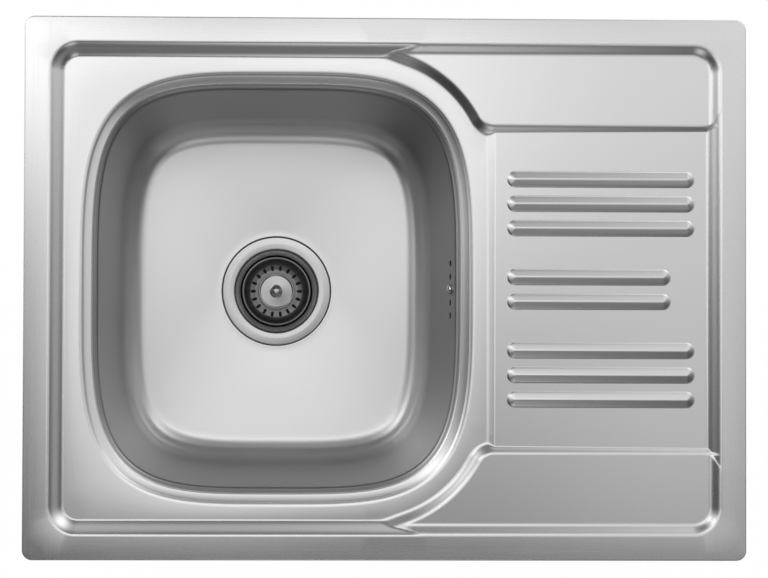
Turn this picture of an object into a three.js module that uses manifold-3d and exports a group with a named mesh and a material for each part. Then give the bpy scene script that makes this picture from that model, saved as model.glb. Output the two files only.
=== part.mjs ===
// Inset kitchen sink with one bowl and a ribbed drainboard, with its waste, overflow and clips.
// Millimetres, +Z up. X runs from the bowl towards the drainer, Y towards the wall behind the sink.
// The origin is the centre of the rim in plan, at the height of the worktop's upper face.
import * as THREE from 'three';
import { mergeVertices } from 'three/addons/utils/BufferGeometryUtils.js';
import Module from 'manifold-3d';

const wasm = await Module();
wasm.setup();

// ---- driving dimensions -------------------------------------------------------------------

const FIT_GAP = 0.3; // left between pieces that touch or slide
const SHEET = 0.8; // stainless sheet of deck, bowl and basket

const SINK_LENGTH = 640;
const SINK_WIDTH = 480;
const RIM_CORNER_RADIUS = 9;
const RIM_FLAT = 22.4; // flat flange before the sloped step
const RIM_EDGE_RADIUS = 2.2;
const SEAL_HEIGHT = 2.7; // the flange's underside stands this high over the worktop
const SEAL_WIDTH = 6;
const SEAL_INSET = 2.6; // from the rim's edge to the seal

const STEP_CORNER_RADIUS = 25;
const STEP_EDGE_CHAMFER = 1.2;
const SURROUND_DROP = 8.5; // from the flange's top to the bowl surround
const SURROUND_RUN = 11.5; // width of the sloped step down to the surround
const PLATFORM_DROP = 4; // from the flange's top to the end platforms
const PLATFORM_RUN = 9.2;
const FIELD_END_RUN = 15; // run to the surround's depth of the gentler slope at the drainer's end

const BOWL_MARGIN_LEFT = 50; // from the rim's edge to the ledge round the bowl
const BOWL_MARGIN_FRONT = 48.5; // the same at the front and the back
const LEDGE_HALF_LENGTH = 173.5; // half sizes of the ledge's outer line
const LEDGE_HALF_WIDTH = SINK_WIDTH / 2 - BOWL_MARGIN_FRONT;
const BOWL_X = -SINK_LENGTH / 2 + BOWL_MARGIN_LEFT + LEDGE_HALF_LENGTH;
const BOWL_RIGHT = BOWL_X + LEDGE_HALF_LENGTH;

const SHOULDER_RUN = 9.7; // slope from the platforms down to the surround
const SHOULDER_ARC_RADIUS = 116; // sweep of the platform's edge round the bowl corner
const SHOULDER_FROM_BOWL = 95.3; // from the ledge's right side back to the arc's centre
const SHOULDER_FROM_REAR = 141.4; // from the rim's rear edge to the arc's centre
const SHOULDER_ARC_CENTRE = { x: BOWL_RIGHT - SHOULDER_FROM_BOWL, y: SINK_WIDTH / 2 - SHOULDER_FROM_REAR };
const SHOULDER_FILLET = 15;
const SHOULDER_TIP_Y = SINK_WIDTH / 2 - 32.5;
const FIELD_HALF_WIDTH = SINK_WIDTH / 2 - 94; // half of the drainer field between the platforms
const FIELD_LEFT = BOWL_RIGHT + 17.5;
const FIELD_EDGE_RUN = 6;
const FIELD_DROP_RIGHT = 2; // below the platforms
const FIELD_DROP_LEFT = 2.9;

const RIB_WIDTH = 14.2;
const RIB_HEIGHT = 2.2;
const RIB_PITCH = 21.8;
const RIB_START = FIELD_LEFT + 14.1;
const RIB_LONG_END = SINK_LENGTH / 2 - 44.4;
const RIB_SHORT_END = SINK_LENGTH / 2 - 65.6;
const RIB_ROWS = [-4.5, -3.5, -2.5, -0.5, 0.5, 2.5, 3.5, 4.5]; // in pitches from the middle
const RIB_SHORT_REACH = 1; // rows nearer the middle than this are the short ones

const BOWL_SQUARENESS = 3.8; // exponent of the bulged rectangle
const LEDGE_WIDTH = 8.7;
const LEDGE_DROP = 3.4;
const BOWL_DEPTH = 152.5; // from the surround to the foot of the wall
const BOWL_LIP_RADIUS = 5;
const BOWL_TAPER = THREE.MathUtils.degToRad(3.5);
const BOWL_FILLET = 20;
const FLOOR_FALL = 7.5;
const DISH_RADIUS = 59.6;
const DISH_FLAT_RADIUS = 57.8;
const DISH_DEPTH = 3;
const DRAIN_HOLE_RADIUS = 45;

const RAIL_SHEET = 1;
const RAIL_INSET = 13; // from the rim's edge to the rail's web
const RAIL_TOP_WIDTH = 7.5;
const RAIL_FOOT_WIDTH = 14;
const RAIL_DEPTH = 15.7;
const RAIL_MARGIN = { long: 60, short: 50 }; // from the rim's corner to a rail's end
const RAIL_LONG = SINK_LENGTH - 2 * RAIL_MARGIN.long;
const RAIL_SHORT = SINK_WIDTH - 2 * RAIL_MARGIN.short;
const RAIL_SLOT_PITCH = 40;
const RAIL_SLOT = { length: 14, width: 5 };

const CLIP_WIDTH = 16;
const CLIP_SHEET = 1.5;
const CLIP_SCREW_INSET = 34; // from the rim's edge to the screw
const CLIP_SCREW_RADIUS = 2.5;
const CLIP_SCREW_LENGTH = 43;
const CLIP_HEAD_RADIUS = 5;
const CLIP_HEAD_HEIGHT = 4;
const JAW_REACH = 47;
const JAW_WIDTH = 12;
const JAW_HUB_HEIGHT = 5;
const CLIP_MARGIN = { left: 80, right: 90 }; // from a rail's end to its first and last clip
const CLIP_FRONT_X = [CLIP_MARGIN.left - RAIL_LONG / 2, RAIL_LONG / 2 - CLIP_MARGIN.right];

const WASTE_RIM_RADIUS = 56.5;
const WASTE_SHEET = 1;
const WASTE_RIM_FLAT_RADIUS = 45.5;
const WASTE_CUP_RADIUS = 38.2;
const WASTE_CUP_DEPTH = 24; // below the bowl's seat for the waste
const WASTE_FUNNEL_DEPTH = 6;
const WASTE_PORTS = 6;
const WASTE_PORT_INNER = 11;
const WASTE_PORT_OUTER = 21;
const WASTE_DIMPLE_RADIUS = 8.6; // holds the centre screw's head
const WASTE_DIMPLE_DEPTH = 3.6;
const FLANGE_GASKET_HEIGHT = 1.2;
const BODY_GASKET_HEIGHT = 3;
const BODY_WALL = 3;
const BODY_RIM_RADIUS = 53;
const BODY_RIM_HEIGHT = 5;
const OUTLET_RADIUS = 23.9;
const OUTLET_TOP = 48;
const OUTLET_END = 74;
const CENTRE_SCREW_RADIUS = 2.9;
const CENTRE_HEAD_RADIUS = 6.5;
const CENTRE_HEAD_HEIGHT = 2.6;
const HUB_RADIUS = 8;
const HUB_HEIGHT = 17;
const INSERT_RADIUS = 5;
const INSERT_HEIGHT = 10;

const BASKET_RIM_RADIUS = 36.3;
const BASKET_RIM_DEPTH = 6; // below the bowl's seat for the waste
const BASKET_DEPTH = 9.5;
const BASKET_FLOOR_RADIUS = 25.5;
const BASKET_SLOTS = 18;
const BASKET_SLOT_WIDTH = 2.3;
const BASKET_SLOT_INNER = 22;
const BASKET_SLOT_OUTER = 32;
const BASKET_SEAL_RADIUS = 24.5;
const BASKET_SEAL_HEIGHT = 2.6;
const STEM_RADIUS = 3;
const STEM_COLLAR_RADIUS = 6;
const KNOB_RADIUS = 19;
const KNOB_HEIGHT = 2.4;
const KNOB_DOME_RADIUS = 5.6;

const OVERFLOW_DROP = 27; // below the surround
const OVERFLOW_PITCH = 12;
const OVERFLOW_HOLE_RADIUS = 3;
const OVERFLOW_GASKET = { length: 70, height: 26, thick: 3 };
const OVERFLOW_BOX = { length: 66, height: 28, depth: 16, wall: 2 };
const HOSE_BORE = 10.1;
const HOSE_ROOT = 11.6;
const HOSE_CREST = 13.5;
const HOSE_CUFF = 12.6;
const HOSE_CUFF_LENGTH = 26;
const HOSE_RIB_PITCH = 5;
const HOSE_BEND = 55;
const HOSE_SIDES = 8;
const HOSE_X = BOWL_RIGHT + 6;
const NIPPLE_RADIUS = 9;
const NIPPLE_BORE = 6.5;
const NIPPLE_LENGTH = 15;
const COUPLING_RADIUS = 12.9;
const COUPLING_LENGTH = 10;
const COUPLING_INSIDE = 9; // how far the coupling's root reaches into its housing
const NUT_RADIUS = 17;
const NUT_LENGTH = 18;
const NUT_FLUTES = 12;
const SPIGOT_DEPTH = 32;

const PAD = { length: 140, width: 46, thick: 3, y: 97, corner: 12 };

const CORNER_STEPS = 4;
const BOWL_STEPS = 40;
const ROUND_STEPS = 24;

// ---- levels that follow from them -----------------------------------------------------------

const RIM_TOP = SEAL_HEIGHT + SHEET;
const SURROUND_Z = RIM_TOP - SURROUND_DROP;
const PLATFORM_Z = RIM_TOP - PLATFORM_DROP;
const FLOOR_EDGE_Z = SURROUND_Z - BOWL_DEPTH;
const SEAT_Z = FLOOR_EDGE_Z - FLOOR_FALL - DISH_DEPTH;
const LEDGE_ANGLE = Math.atan2(LEDGE_DROP, LEDGE_WIDTH);
const RIGHT_STEP_X = SINK_LENGTH / 2 - RIM_FLAT;

// ---- materials ------------------------------------------------------------------------------

const steel = () => new THREE.MeshStandardMaterial({ color: 0xc9c9cb, roughness: 0.32, metalness: 1 });
const plated = () => new THREE.MeshStandardMaterial({ color: 0xb9bbbd, roughness: 0.4, metalness: 1 });
const polished = () => new THREE.MeshStandardMaterial({ color: 0xd6d6d8, roughness: 0.15, metalness: 1 });
const rubber = () => new THREE.MeshStandardMaterial({ color: 0x2b2b2c, roughness: 0.8, metalness: 0 });
const foam = () => new THREE.MeshStandardMaterial({ color: 0x3a3a3b, roughness: 0.95, metalness: 0 });
const plastic = () => new THREE.MeshStandardMaterial({ color: 0xe9e9e6, roughness: 0.5, metalness: 0 });
const brass = () => new THREE.MeshStandardMaterial({ color: 0xb8964e, roughness: 0.35, metalness: 1 });

// ---- meshes from rings of points ------------------------------------------------------------

/** Joins rings with the same number of points into one closed body: capped, or closed on itself. */
function loft(rings, { loop = false } = {}) {
  const size = rings[0].length;
  const positions = rings.flat().flatMap((p) => [p.x, p.y, p.z]);
  const index = [];
  const last = loop ? rings.length : rings.length - 1;
  for (let i = 0; i < last; i += 1) {
    const next = (i + 1) % rings.length;
    for (let k = 0; k < size; k += 1) {
      const a = i * size + k;
      const b = i * size + ((k + 1) % size);
      const c = next * size + k;
      const d = next * size + ((k + 1) % size);
      index.push(a, b, d, a, d, c);
    }
  }
  if (!loop) {
    const caps = [[0, true], [rings.length - 1, false]];
    for (const [ring, flip] of caps) {
      for (const [a, b, c] of capTriangles(rings[ring])) {
        const start = ring * size;
        index.push(start + a, start + (flip ? c : b), start + (flip ? b : c));
      }
    }
  }
  const geometry = new THREE.BufferGeometry();
  geometry.setAttribute('position', new THREE.Float32BufferAttribute(positions, 3));
  geometry.setIndex(index);
  return faceOutwards(geometry);
}

/** Triangles across one flat ring, seen square to its own plane. */
function capTriangles(ring) {
  const centre = ring.reduce((sum, p) => sum.add(p), new THREE.Vector3()).divideScalar(ring.length);
  const normal = new THREE.Vector3();
  ring.forEach((p, k) => {
    const next = ring[(k + 1) % ring.length];
    normal.add(p.clone().sub(centre).cross(next.clone().sub(centre)));
  });
  normal.normalize();
  const axis = Math.abs(normal.z) > 0.9 ? new THREE.Vector3(1, 0, 0) : new THREE.Vector3(0, 0, 1);
  const u = new THREE.Vector3().crossVectors(axis, normal).normalize();
  const v = new THREE.Vector3().crossVectors(normal, u);
  const flat = ring.map((p) => new THREE.Vector2(p.dot(u), p.dot(v)));
  return THREE.ShapeUtils.triangulateShape(flat, []);
}

/** Turns the triangles round when the body's signed volume is negative. */
function faceOutwards(geometry) {
  const at = geometry.getAttribute('position');
  const index = geometry.getIndex().array;
  const [a, b, c] = [new THREE.Vector3(), new THREE.Vector3(), new THREE.Vector3()];
  let volume = 0;
  for (let i = 0; i < index.length; i += 3) {
    a.fromBufferAttribute(at, index[i]);
    b.fromBufferAttribute(at, index[i + 1]);
    c.fromBufferAttribute(at, index[i + 2]);
    volume += a.dot(b.cross(c));
  }
  if (volume < 0) {
    for (let i = 0; i < index.length; i += 3) {
      [index[i + 1], index[i + 2]] = [index[i + 2], index[i + 1]];
    }
  }
  return geometry;
}

/** A manifold solid of a closed geometry, first moved by an optional matrix. */
function solid(geometry, matrix = new THREE.Matrix4()) {
  const bare = geometry.clone().applyMatrix4(matrix);
  bare.deleteAttribute('normal');
  bare.deleteAttribute('uv');
  const merged = mergeVertices(bare, 1e-4);
  return new wasm.Manifold(new wasm.Mesh({
    numProp: 3,
    vertProperties: Float32Array.from(merged.getAttribute('position').array),
    triVerts: Uint32Array.from(merged.getIndex().array),
  }));
}

/** The geometry of a manifold solid. */
function geometryOf(body) {
  const mesh = body.getMesh();
  const geometry = new THREE.BufferGeometry();
  geometry.setAttribute('position', new THREE.BufferAttribute(mesh.vertProperties, 3));
  geometry.setIndex(new THREE.BufferAttribute(mesh.triVerts, 1));
  return geometry;
}

const union = (...bodies) => bodies.reduce((sum, body) => sum.add(body));
const move = (x, y, z) => new THREE.Matrix4().makeTranslation(x, y, z);
const turnX = (angle) => new THREE.Matrix4().makeRotationX(angle);
const turnY = (angle) => new THREE.Matrix4().makeRotationY(angle);
const turnZ = (angle) => new THREE.Matrix4().makeRotationZ(angle);

/** An upright cylinder from one height to another, at a place in plan. */
function post(radius, low, high, { x = 0, y = 0, steps = 24 } = {}) {
  const geometry = new THREE.CylinderGeometry(radius, radius, high - low, steps);
  return solid(geometry, move(x, y, (low + high) / 2).multiply(turnX(Math.PI / 2)));
}

/** A box between two corners. */
function block([x0, y0, z0], [x1, y1, z1]) {
  const geometry = new THREE.BoxGeometry(x1 - x0, y1 - y0, z1 - z0);
  return solid(geometry, move((x0 + x1) / 2, (y0 + y1) / 2, (z0 + z1) / 2));
}

/** A solid of revolution about the Z axis from [radius, height] points that close on themselves. */
function turned(points, steps = ROUND_STEPS) {
  const closed = [...points, points[0]].map(([radius, height]) => new THREE.Vector2(radius, height));
  const geometry = new THREE.LatheGeometry(closed, steps);
  geometry.deleteAttribute('normal');
  geometry.deleteAttribute('uv');
  return faceOutwards(mergeVertices(geometry.applyMatrix4(turnX(Math.PI / 2)), 1e-4));
}

/** An outline of [x, y] points drawn up along Z between two heights. */
function prism(points, low, high) {
  const shape = new THREE.Shape(points.map(([x, y]) => new THREE.Vector2(x, y)));
  const geometry = new THREE.ExtrudeGeometry(shape, { depth: high - low, bevelEnabled: false });
  return geometry.translate(0, 0, low);
}

// ---- outlines: points with the direction that points into the hollow -------------------------

/** Part of a circle; side is -1 when the hollow lies towards the centre, 1 when away from it. */
function arc(cx, cy, radius, from, to, steps, side) {
  return Array.from({ length: steps + 1 }, (_, k) => {
    const angle = from + ((to - from) * k) / steps;
    const [c, s] = [Math.cos(angle), Math.sin(angle)];
    return { x: cx + radius * c, y: cy + radius * s, nx: side * c, ny: side * s };
  });
}

/** A rectangle with round corners about the origin. */
function roundedRectangle(length, width, radius, steps = CORNER_STEPS) {
  const [hx, hy] = [length / 2 - radius, width / 2 - radius];
  const quarter = Math.PI / 2;
  const corners = [[hx, hy, 0], [-hx, hy, 1], [-hx, -hy, 2], [hx, -hy, 3]];
  return corners.flatMap(([x, y, turn]) => (
    arc(x, y, radius, turn * quarter, (turn + 1) * quarter, steps, -1)
  ));
}

/** The bulged rectangle of the bowl: its points are spread so that sides and corners both get some. */
function bowlOutline(steps = BOWL_STEPS) {
  const [a, b, n] = [LEDGE_HALF_LENGTH, LEDGE_HALF_WIDTH, BOWL_SQUARENESS];
  const eighth = Math.PI / 4;
  return Array.from({ length: steps }, (_, k) => {
    const turn = (k / steps) * 8;
    const nearest = Math.round(turn / 2) * 2;
    const away = turn - nearest;
    const angle = (nearest + Math.sign(away) * Math.abs(away) ** 1.6) * eighth;
    const [c, s] = [Math.cos(angle), Math.sin(angle)];
    const [u, v] = [a * Math.abs(c), b * Math.abs(s)];
    const power = n / (n - 1);
    const size = (u ** power + v ** power) ** (1 / n);
    return {
      x: BOWL_X + (Math.sign(c) * a * u ** (1 / (n - 1))) / size,
      y: (Math.sign(s) * b * v ** (1 / (n - 1))) / size,
      nx: -c,
      ny: -s,
    };
  });
}

/** The edge of the hollow left of and between the platforms, at the platforms' level. */
function shoulderOutline() {
  const { x: cx, y: cy } = SHOULDER_ARC_CENTRE;
  const radius = SHOULDER_ARC_RADIUS;
  const beyond = SINK_WIDTH / 2 + 20; // outside the steps, so that only the shoulder is cut
  const fy = FIELD_HALF_WIDTH + SHOULDER_FILLET;
  const fx = cx + Math.sqrt((radius + SHOULDER_FILLET) ** 2 - (fy - cy) ** 2);
  const join = Math.atan2(fy - cy, fx - cx);
  const tip = Math.asin((SHOULDER_TIP_Y - cy) / radius);
  const sweep = arc(cx, cy, radius, join, tip, 8, -1);
  const end = sweep[sweep.length - 1];
  const run = (beyond - end.y) / Math.cos(tip);
  const upper = [
    { x: SINK_LENGTH / 2, y: FIELD_HALF_WIDTH, nx: 0, ny: -1 },
    ...arc(fx, fy, SHOULDER_FILLET, -Math.PI / 2, join - Math.PI, 4, 1),
    ...sweep,
    { x: end.x - run * Math.sin(tip), y: beyond, nx: end.nx, ny: end.ny },
    { x: -SINK_LENGTH / 2 - 20, y: beyond + 20, nx: 0, ny: 0 },
  ];
  const lower = upper.map((p) => ({ ...p, y: -p.y, ny: -p.ny })).reverse();
  return [...upper, ...lower];
}

/** One ring of an outline, moved into the hollow by an inset, at a height or a sloping level. */
function ring(outline, inset, height) {
  return outline.map((p) => {
    const [x, y] = [p.x + p.nx * inset, p.y + p.ny * inset];
    return new THREE.Vector3(x, y, typeof height === 'function' ? height(x) : height);
  });
}

/** The hollow over a slope between two levels, one sheet lower for the sheet's underside. */
function hollow(outline, { top, bottom, run, sheet = 0, reach = 6, flare = 0 }) {
  const angle = Math.atan2(top - bottom, run);
  const shift = sheet * Math.tan(angle / 2);
  const cut = STEP_EDGE_CHAMFER;
  const [dx, dz] = [cut * Math.cos(angle), cut * Math.sin(angle)];
  const rings = [
    [-cut - shift - flare, top + reach],
    [-cut - shift, top - sheet],
    [dx - shift, top - dz - sheet],
    [run - dx - shift, bottom + dz - sheet],
    [run + cut - shift, bottom - sheet],
  ];
  return solid(loft(rings.map(([inset, height]) => ring(outline, inset, height))));
}

// ---- the pressed deck -------------------------------------------------------------------------

const stepOutline = roundedRectangle(
  SINK_LENGTH - 2 * RIM_FLAT, SINK_WIDTH - 2 * RIM_FLAT, STEP_CORNER_RADIUS);
const ledgeOutline = bowlOutline();

/** Height of the drainer field, which falls towards the bowl. */
function fieldHeight(x) {
  const along = (x - FIELD_LEFT) / (RIGHT_STEP_X - FIELD_LEFT);
  return PLATFORM_Z - FIELD_DROP_LEFT + along * (FIELD_DROP_LEFT - FIELD_DROP_RIGHT);
}

/** The raised drainer field as a block whose left edge slopes down to the surround. */
function fieldBlock(sheet) {
  const low = SURROUND_Z - 10;
  const right = SINK_LENGTH / 2 + 10;
  const edge = FIELD_LEFT - FIELD_EDGE_RUN / 2;
  const profile = [
    [edge, low],
    [edge, SURROUND_Z - sheet],
    [edge + FIELD_EDGE_RUN * 0.3, SURROUND_Z + 0.2 * (fieldHeight(FIELD_LEFT) - SURROUND_Z) - sheet],
    [edge + FIELD_EDGE_RUN * 0.7, SURROUND_Z + 0.8 * (fieldHeight(FIELD_LEFT) - SURROUND_Z) - sheet],
    [edge + FIELD_EDGE_RUN, fieldHeight(edge + FIELD_EDGE_RUN) - sheet],
    [right, fieldHeight(right) - sheet],
    [right, low],
  ];
  const bar = prism(profile, -SINK_WIDTH / 2, SINK_WIDTH / 2);
  return solid(bar, turnX(Math.PI / 2));
}

/** One raised rib of the drainer: a crest with sloped flanks and round ends. */
function rib(row, sheet) {
  const end = Math.abs(row) < RIB_SHORT_REACH ? RIB_SHORT_END : RIB_LONG_END;
  const length = end - RIB_START;
  const shift = sheet * 0.45;
  const outline = roundedRectangle(length, RIB_WIDTH, RIB_WIDTH / 2 - 0.01, 3)
    .map((p) => ({ ...p, x: p.x + RIB_START + length / 2, y: p.y + row * RIB_PITCH }));
  const profile = [[-0.6, -SHEET * 2], [-0.6, 0], [5.2, RIB_HEIGHT - 0.5], [6.3, RIB_HEIGHT]];
  const rings = profile.map(([inset, rise]) => (
    ring(outline, Math.min(inset + shift, RIB_WIDTH / 2 - 0.3), (x) => fieldHeight(x) + rise - sheet)
  ));
  return solid(loft(rings));
}

/** Everything below the deck's upper face, or below its underside when a sheet is given. */
function deckBlock(sheet) {
  const pressed = { sheet, top: RIM_TOP };
  const surround = hollow(stepOutline, { ...pressed, bottom: SURROUND_Z, run: SURROUND_RUN });
  const platforms = hollow(stepOutline, { ...pressed, bottom: PLATFORM_Z, run: PLATFORM_RUN });
  const gentle = hollow(stepOutline, { ...pressed, bottom: SURROUND_Z, run: FIELD_END_RUN });
  const leftPart = block([-SINK_LENGTH, -SINK_WIDTH, -SINK_WIDTH], [FIELD_LEFT, SINK_WIDTH, SINK_WIDTH]);
  const reach = PLATFORM_DROP + 1;
  const shoulder = hollow(shoulderOutline(), {
    sheet,
    top: PLATFORM_Z,
    bottom: SURROUND_Z,
    run: SHOULDER_RUN,
    reach,
    flare: (reach * SHOULDER_RUN) / (PLATFORM_Z - SURROUND_Z),
  });
  const ledge = hollow(ledgeOutline, {
    sheet, top: SURROUND_Z, bottom: SURROUND_Z - LEDGE_DROP, run: LEDGE_WIDTH, reach: 1,
  });
  const low = SURROUND_Z - LEDGE_DROP - 20 - sheet;
  const outline = roundedRectangle(SINK_LENGTH, SINK_WIDTH, RIM_CORNER_RADIUS);
  const edge = RIM_EDGE_RADIUS;
  const soft = [0, 0.25, 0.5, 0.75, 1].map((part) => part * (Math.PI / 2));
  const rings = [
    ring(outline, sheet, low),
    ...soft.map((angle) => ring(
      outline,
      sheet + (edge - sheet) * (1 - Math.cos(angle)),
      RIM_TOP - edge + (edge - sheet) * Math.sin(angle),
    )),
  ];
  const slab = solid(loft(rings));
  const walls = surround.intersect(gentle.add(leftPart)).intersect(shoulder);
  const basin = walls.subtract(fieldBlock(sheet)).add(ledge);
  const ribs = union(...RIB_ROWS.map((row) => rib(row, sheet)));
  return slab.subtract(basin.add(platforms).subtract(ribs));
}

function sinkTop() {
  const low = SURROUND_Z - LEDGE_DROP - 12;
  const opening = solid(loft([low, RIM_TOP + 5].map((z) => ring(ledgeOutline, LEDGE_WIDTH, z))));
  const inside = solid(loft([low, RIM_TOP - SHEET].map((z) => (
    ring(roundedRectangle(SINK_LENGTH, SINK_WIDTH, RIM_CORNER_RADIUS), SHEET + 0.5, z)
  ))));
  const above = block([-SINK_LENGTH, -SINK_WIDTH, FIT_GAP], [SINK_LENGTH, SINK_WIDTH, RIM_TOP + 1]);
  const sheet = deckBlock(0).subtract(deckBlock(SHEET)).subtract(opening);
  return sheet.intersect(inside.add(above));
}

// ---- the drawn bowl ---------------------------------------------------------------------------

/** The bowl's section from the flange under the ledge to the drain hole, as places on its inside. */
function bowlSection() {
  const under = (SHEET + FIT_GAP) / Math.cos(LEDGE_ANGLE);
  const ledgeZ = (inset) => SURROUND_Z - inset * Math.tan(LEDGE_ANGLE) - under;
  const steep = Math.PI / 2 - BOWL_TAPER;
  const flat = Math.atan2(FLOOR_FALL, LEDGE_HALF_LENGTH - DISH_RADIUS);
  const places = [{ inset: 0.6, z: ledgeZ(0.6) }, { inset: LEDGE_WIDTH, z: ledgeZ(LEDGE_WIDTH) }];
  const lipSteps = 3;
  const [lipX, lipZ] = [LEDGE_WIDTH, ledgeZ(LEDGE_WIDTH)];
  for (let k = 1; k <= lipSteps; k += 1) {
    const angle = LEDGE_ANGLE + ((steep - LEDGE_ANGLE) * k) / lipSteps;
    places.push({
      inset: lipX + BOWL_LIP_RADIUS * (Math.sin(angle) - Math.sin(LEDGE_ANGLE)),
      z: lipZ - BOWL_LIP_RADIUS * (Math.cos(LEDGE_ANGLE) - Math.cos(angle)),
    });
  }
  const wallTop = places[places.length - 1];
  const filletDrop = BOWL_FILLET * (Math.cos(flat) - Math.cos(steep));
  const wallFoot = {
    inset: wallTop.inset + (wallTop.z - FLOOR_EDGE_Z - filletDrop) * Math.tan(BOWL_TAPER),
    z: FLOOR_EDGE_Z + filletDrop,
  };
  const filletSteps = 6;
  for (let k = 0; k <= filletSteps; k += 1) {
    const angle = steep + ((flat - steep) * k) / filletSteps;
    places.push({
      inset: wallFoot.inset + BOWL_FILLET * (Math.sin(steep) - Math.sin(angle)),
      z: wallFoot.z - BOWL_FILLET * (Math.cos(angle) - Math.cos(steep)),
    });
  }
  const foot = places[places.length - 1];
  const walls = places.map((p) => ({ ...p, radius: DISH_RADIUS, blend: 0 }));
  const dishZ = FLOOR_EDGE_Z - FLOOR_FALL;
  return [
    ...walls,
    { inset: foot.inset, radius: DISH_RADIUS, blend: 0.5, z: (foot.z + dishZ) / 2 },
    { inset: foot.inset, radius: DISH_RADIUS, blend: 1, z: dishZ },
    { inset: foot.inset, radius: DISH_FLAT_RADIUS, blend: 1, z: SEAT_Z },
    { inset: foot.inset, radius: DRAIN_HOLE_RADIUS, blend: 1, z: SEAT_Z },
  ];
}

/** The same section moved square to itself, outwards by a distance. */
function movedSection(section, distance) {
  const reach = (p) => (1 - p.blend) * (LEDGE_HALF_LENGTH - p.inset) + p.blend * p.radius;
  const side = (p, q) => {
    const [dx, dz] = [reach(q) - reach(p), q.z - p.z];
    const length = Math.hypot(dx, dz);
    return [-dz / length, dx / length];
  };
  return section.map((p, k) => {
    const before = k > 0 ? side(section[k - 1], p) : side(p, section[k + 1]);
    const after = k < section.length - 1 ? side(p, section[k + 1]) : before;
    const share = distance / (1 + before[0] * after[0] + before[1] * after[1]);
    const [outX, outZ] = [(before[0] + after[0]) * share, (before[1] + after[1]) * share];
    return { ...p, inset: p.inset - outX, radius: p.radius + outX, z: p.z + outZ };
  });
}

/** One ring of the bowl: parallel to the ledge at the walls, a circle at the drain. */
function bowlRing({ inset, radius, blend, z }) {
  return ledgeOutline.map((p) => new THREE.Vector3(
    (p.x + p.nx * inset) * (1 - blend) + (BOWL_X - p.nx * radius) * blend,
    (p.y + p.ny * inset) * (1 - blend) - p.ny * radius * blend,
    z,
  ));
}

/** The shell between two sections of the bowl. */
function bowlShell(from, to) {
  const inner = movedSection(bowlSection(), from).map(bowlRing);
  const outer = movedSection(bowlSection(), to).map(bowlRing);
  return solid(loft([...inner, ...outer.reverse()], { loop: true }));
}

/** Reach of the bowl's wall from its middle along X at a height, on the inside. */
function wallReach(z) {
  const section = bowlSection();
  const below = section.findIndex((p) => p.z < z);
  const [p, q] = [section[below - 1], section[below]];
  const part = (p.z - z) / (p.z - q.z);
  return LEDGE_HALF_LENGTH - (p.inset + part * (q.inset - p.inset));
}

const OVERFLOW_Z = SURROUND_Z - OVERFLOW_DROP;
const OVERFLOW_WALL_X = BOWL_X + wallReach(OVERFLOW_Z);

function sinkBowl() {
  const places = [-2, -1, 0, 1, 2];
  const holes = places.map((place) => {
    const radius = place === 0 ? CLIP_SCREW_RADIUS + FIT_GAP : OVERFLOW_HOLE_RADIUS;
    const pin = new THREE.CylinderGeometry(radius, radius, 20, 12);
    const at = move(OVERFLOW_WALL_X, place * OVERFLOW_PITCH, OVERFLOW_Z);
    return solid(pin, at.multiply(turnZ(Math.PI / 2)));
  });
  return bowlShell(0, SHEET).subtract(union(...holes));
}

function soundPad() {
  const from = SHEET + FIT_GAP;
  const outline = roundedRectangle(PAD.length, PAD.width, PAD.corner)
    .map((p) => ({ ...p, x: p.x + BOWL_X, y: p.y + PAD.y }));
  const patch = solid(loft([SEAT_Z - 20, FLOOR_EDGE_Z + 8].map((z) => ring(outline, 0, z))));
  return bowlShell(from, from + PAD.thick).intersect(patch);
}

// ---- rim seal, rails and clips ------------------------------------------------------------------

function rimSeal() {
  const outer = roundedRectangle(SINK_LENGTH, SINK_WIDTH, RIM_CORNER_RADIUS);
  const rings = [
    ring(outer, SEAL_INSET, 0),
    ring(outer, SEAL_INSET, SEAL_HEIGHT),
    ring(outer, SEAL_INSET + SEAL_WIDTH, SEAL_HEIGHT),
    ring(outer, SEAL_INSET + SEAL_WIDTH, 0),
  ];
  return solid(loft(rings, { loop: true }));
}

const RAIL_FOOT_Z = SEAL_HEIGHT - RAIL_DEPTH;

/** A folded rail along X, with the rim's edge at y = 0 and the sink inwards along +Y. */
function rail(length) {
  const [web, t] = [RAIL_INSET, RAIL_SHEET];
  const profile = [
    [web, RAIL_FOOT_Z],
    [web + RAIL_FOOT_WIDTH, RAIL_FOOT_Z],
    [web + RAIL_FOOT_WIDTH, RAIL_FOOT_Z + t],
    [web + t, RAIL_FOOT_Z + t],
    [web + t, SEAL_HEIGHT - t],
    [web + RAIL_TOP_WIDTH, SEAL_HEIGHT - t],
    [web + RAIL_TOP_WIDTH, SEAL_HEIGHT],
    [web, SEAL_HEIGHT],
  ];
  // The profile's plane is turned from XY to YZ, so that it runs along X.
  const standing = new THREE.Matrix4().makeBasis(
    new THREE.Vector3(0, 1, 0), new THREE.Vector3(0, 0, 1), new THREE.Vector3(1, 0, 0));
  const bar = solid(prism(profile, -length / 2, length / 2), standing);
  const count = Math.floor(length / RAIL_SLOT_PITCH);
  const slots = Array.from({ length: count }, (_, k) => {
    const x = (k - (count - 1) / 2) * RAIL_SLOT_PITCH;
    const [half, rise] = [RAIL_SLOT.length / 2, RAIL_SLOT.width / 2];
    const mid = (RAIL_FOOT_Z + SEAL_HEIGHT) / 2;
    return block([x - half, web - 1, mid - rise], [x + half, web + t + 1, mid + rise]);
  });
  return bar.subtract(union(...slots));
}

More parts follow.
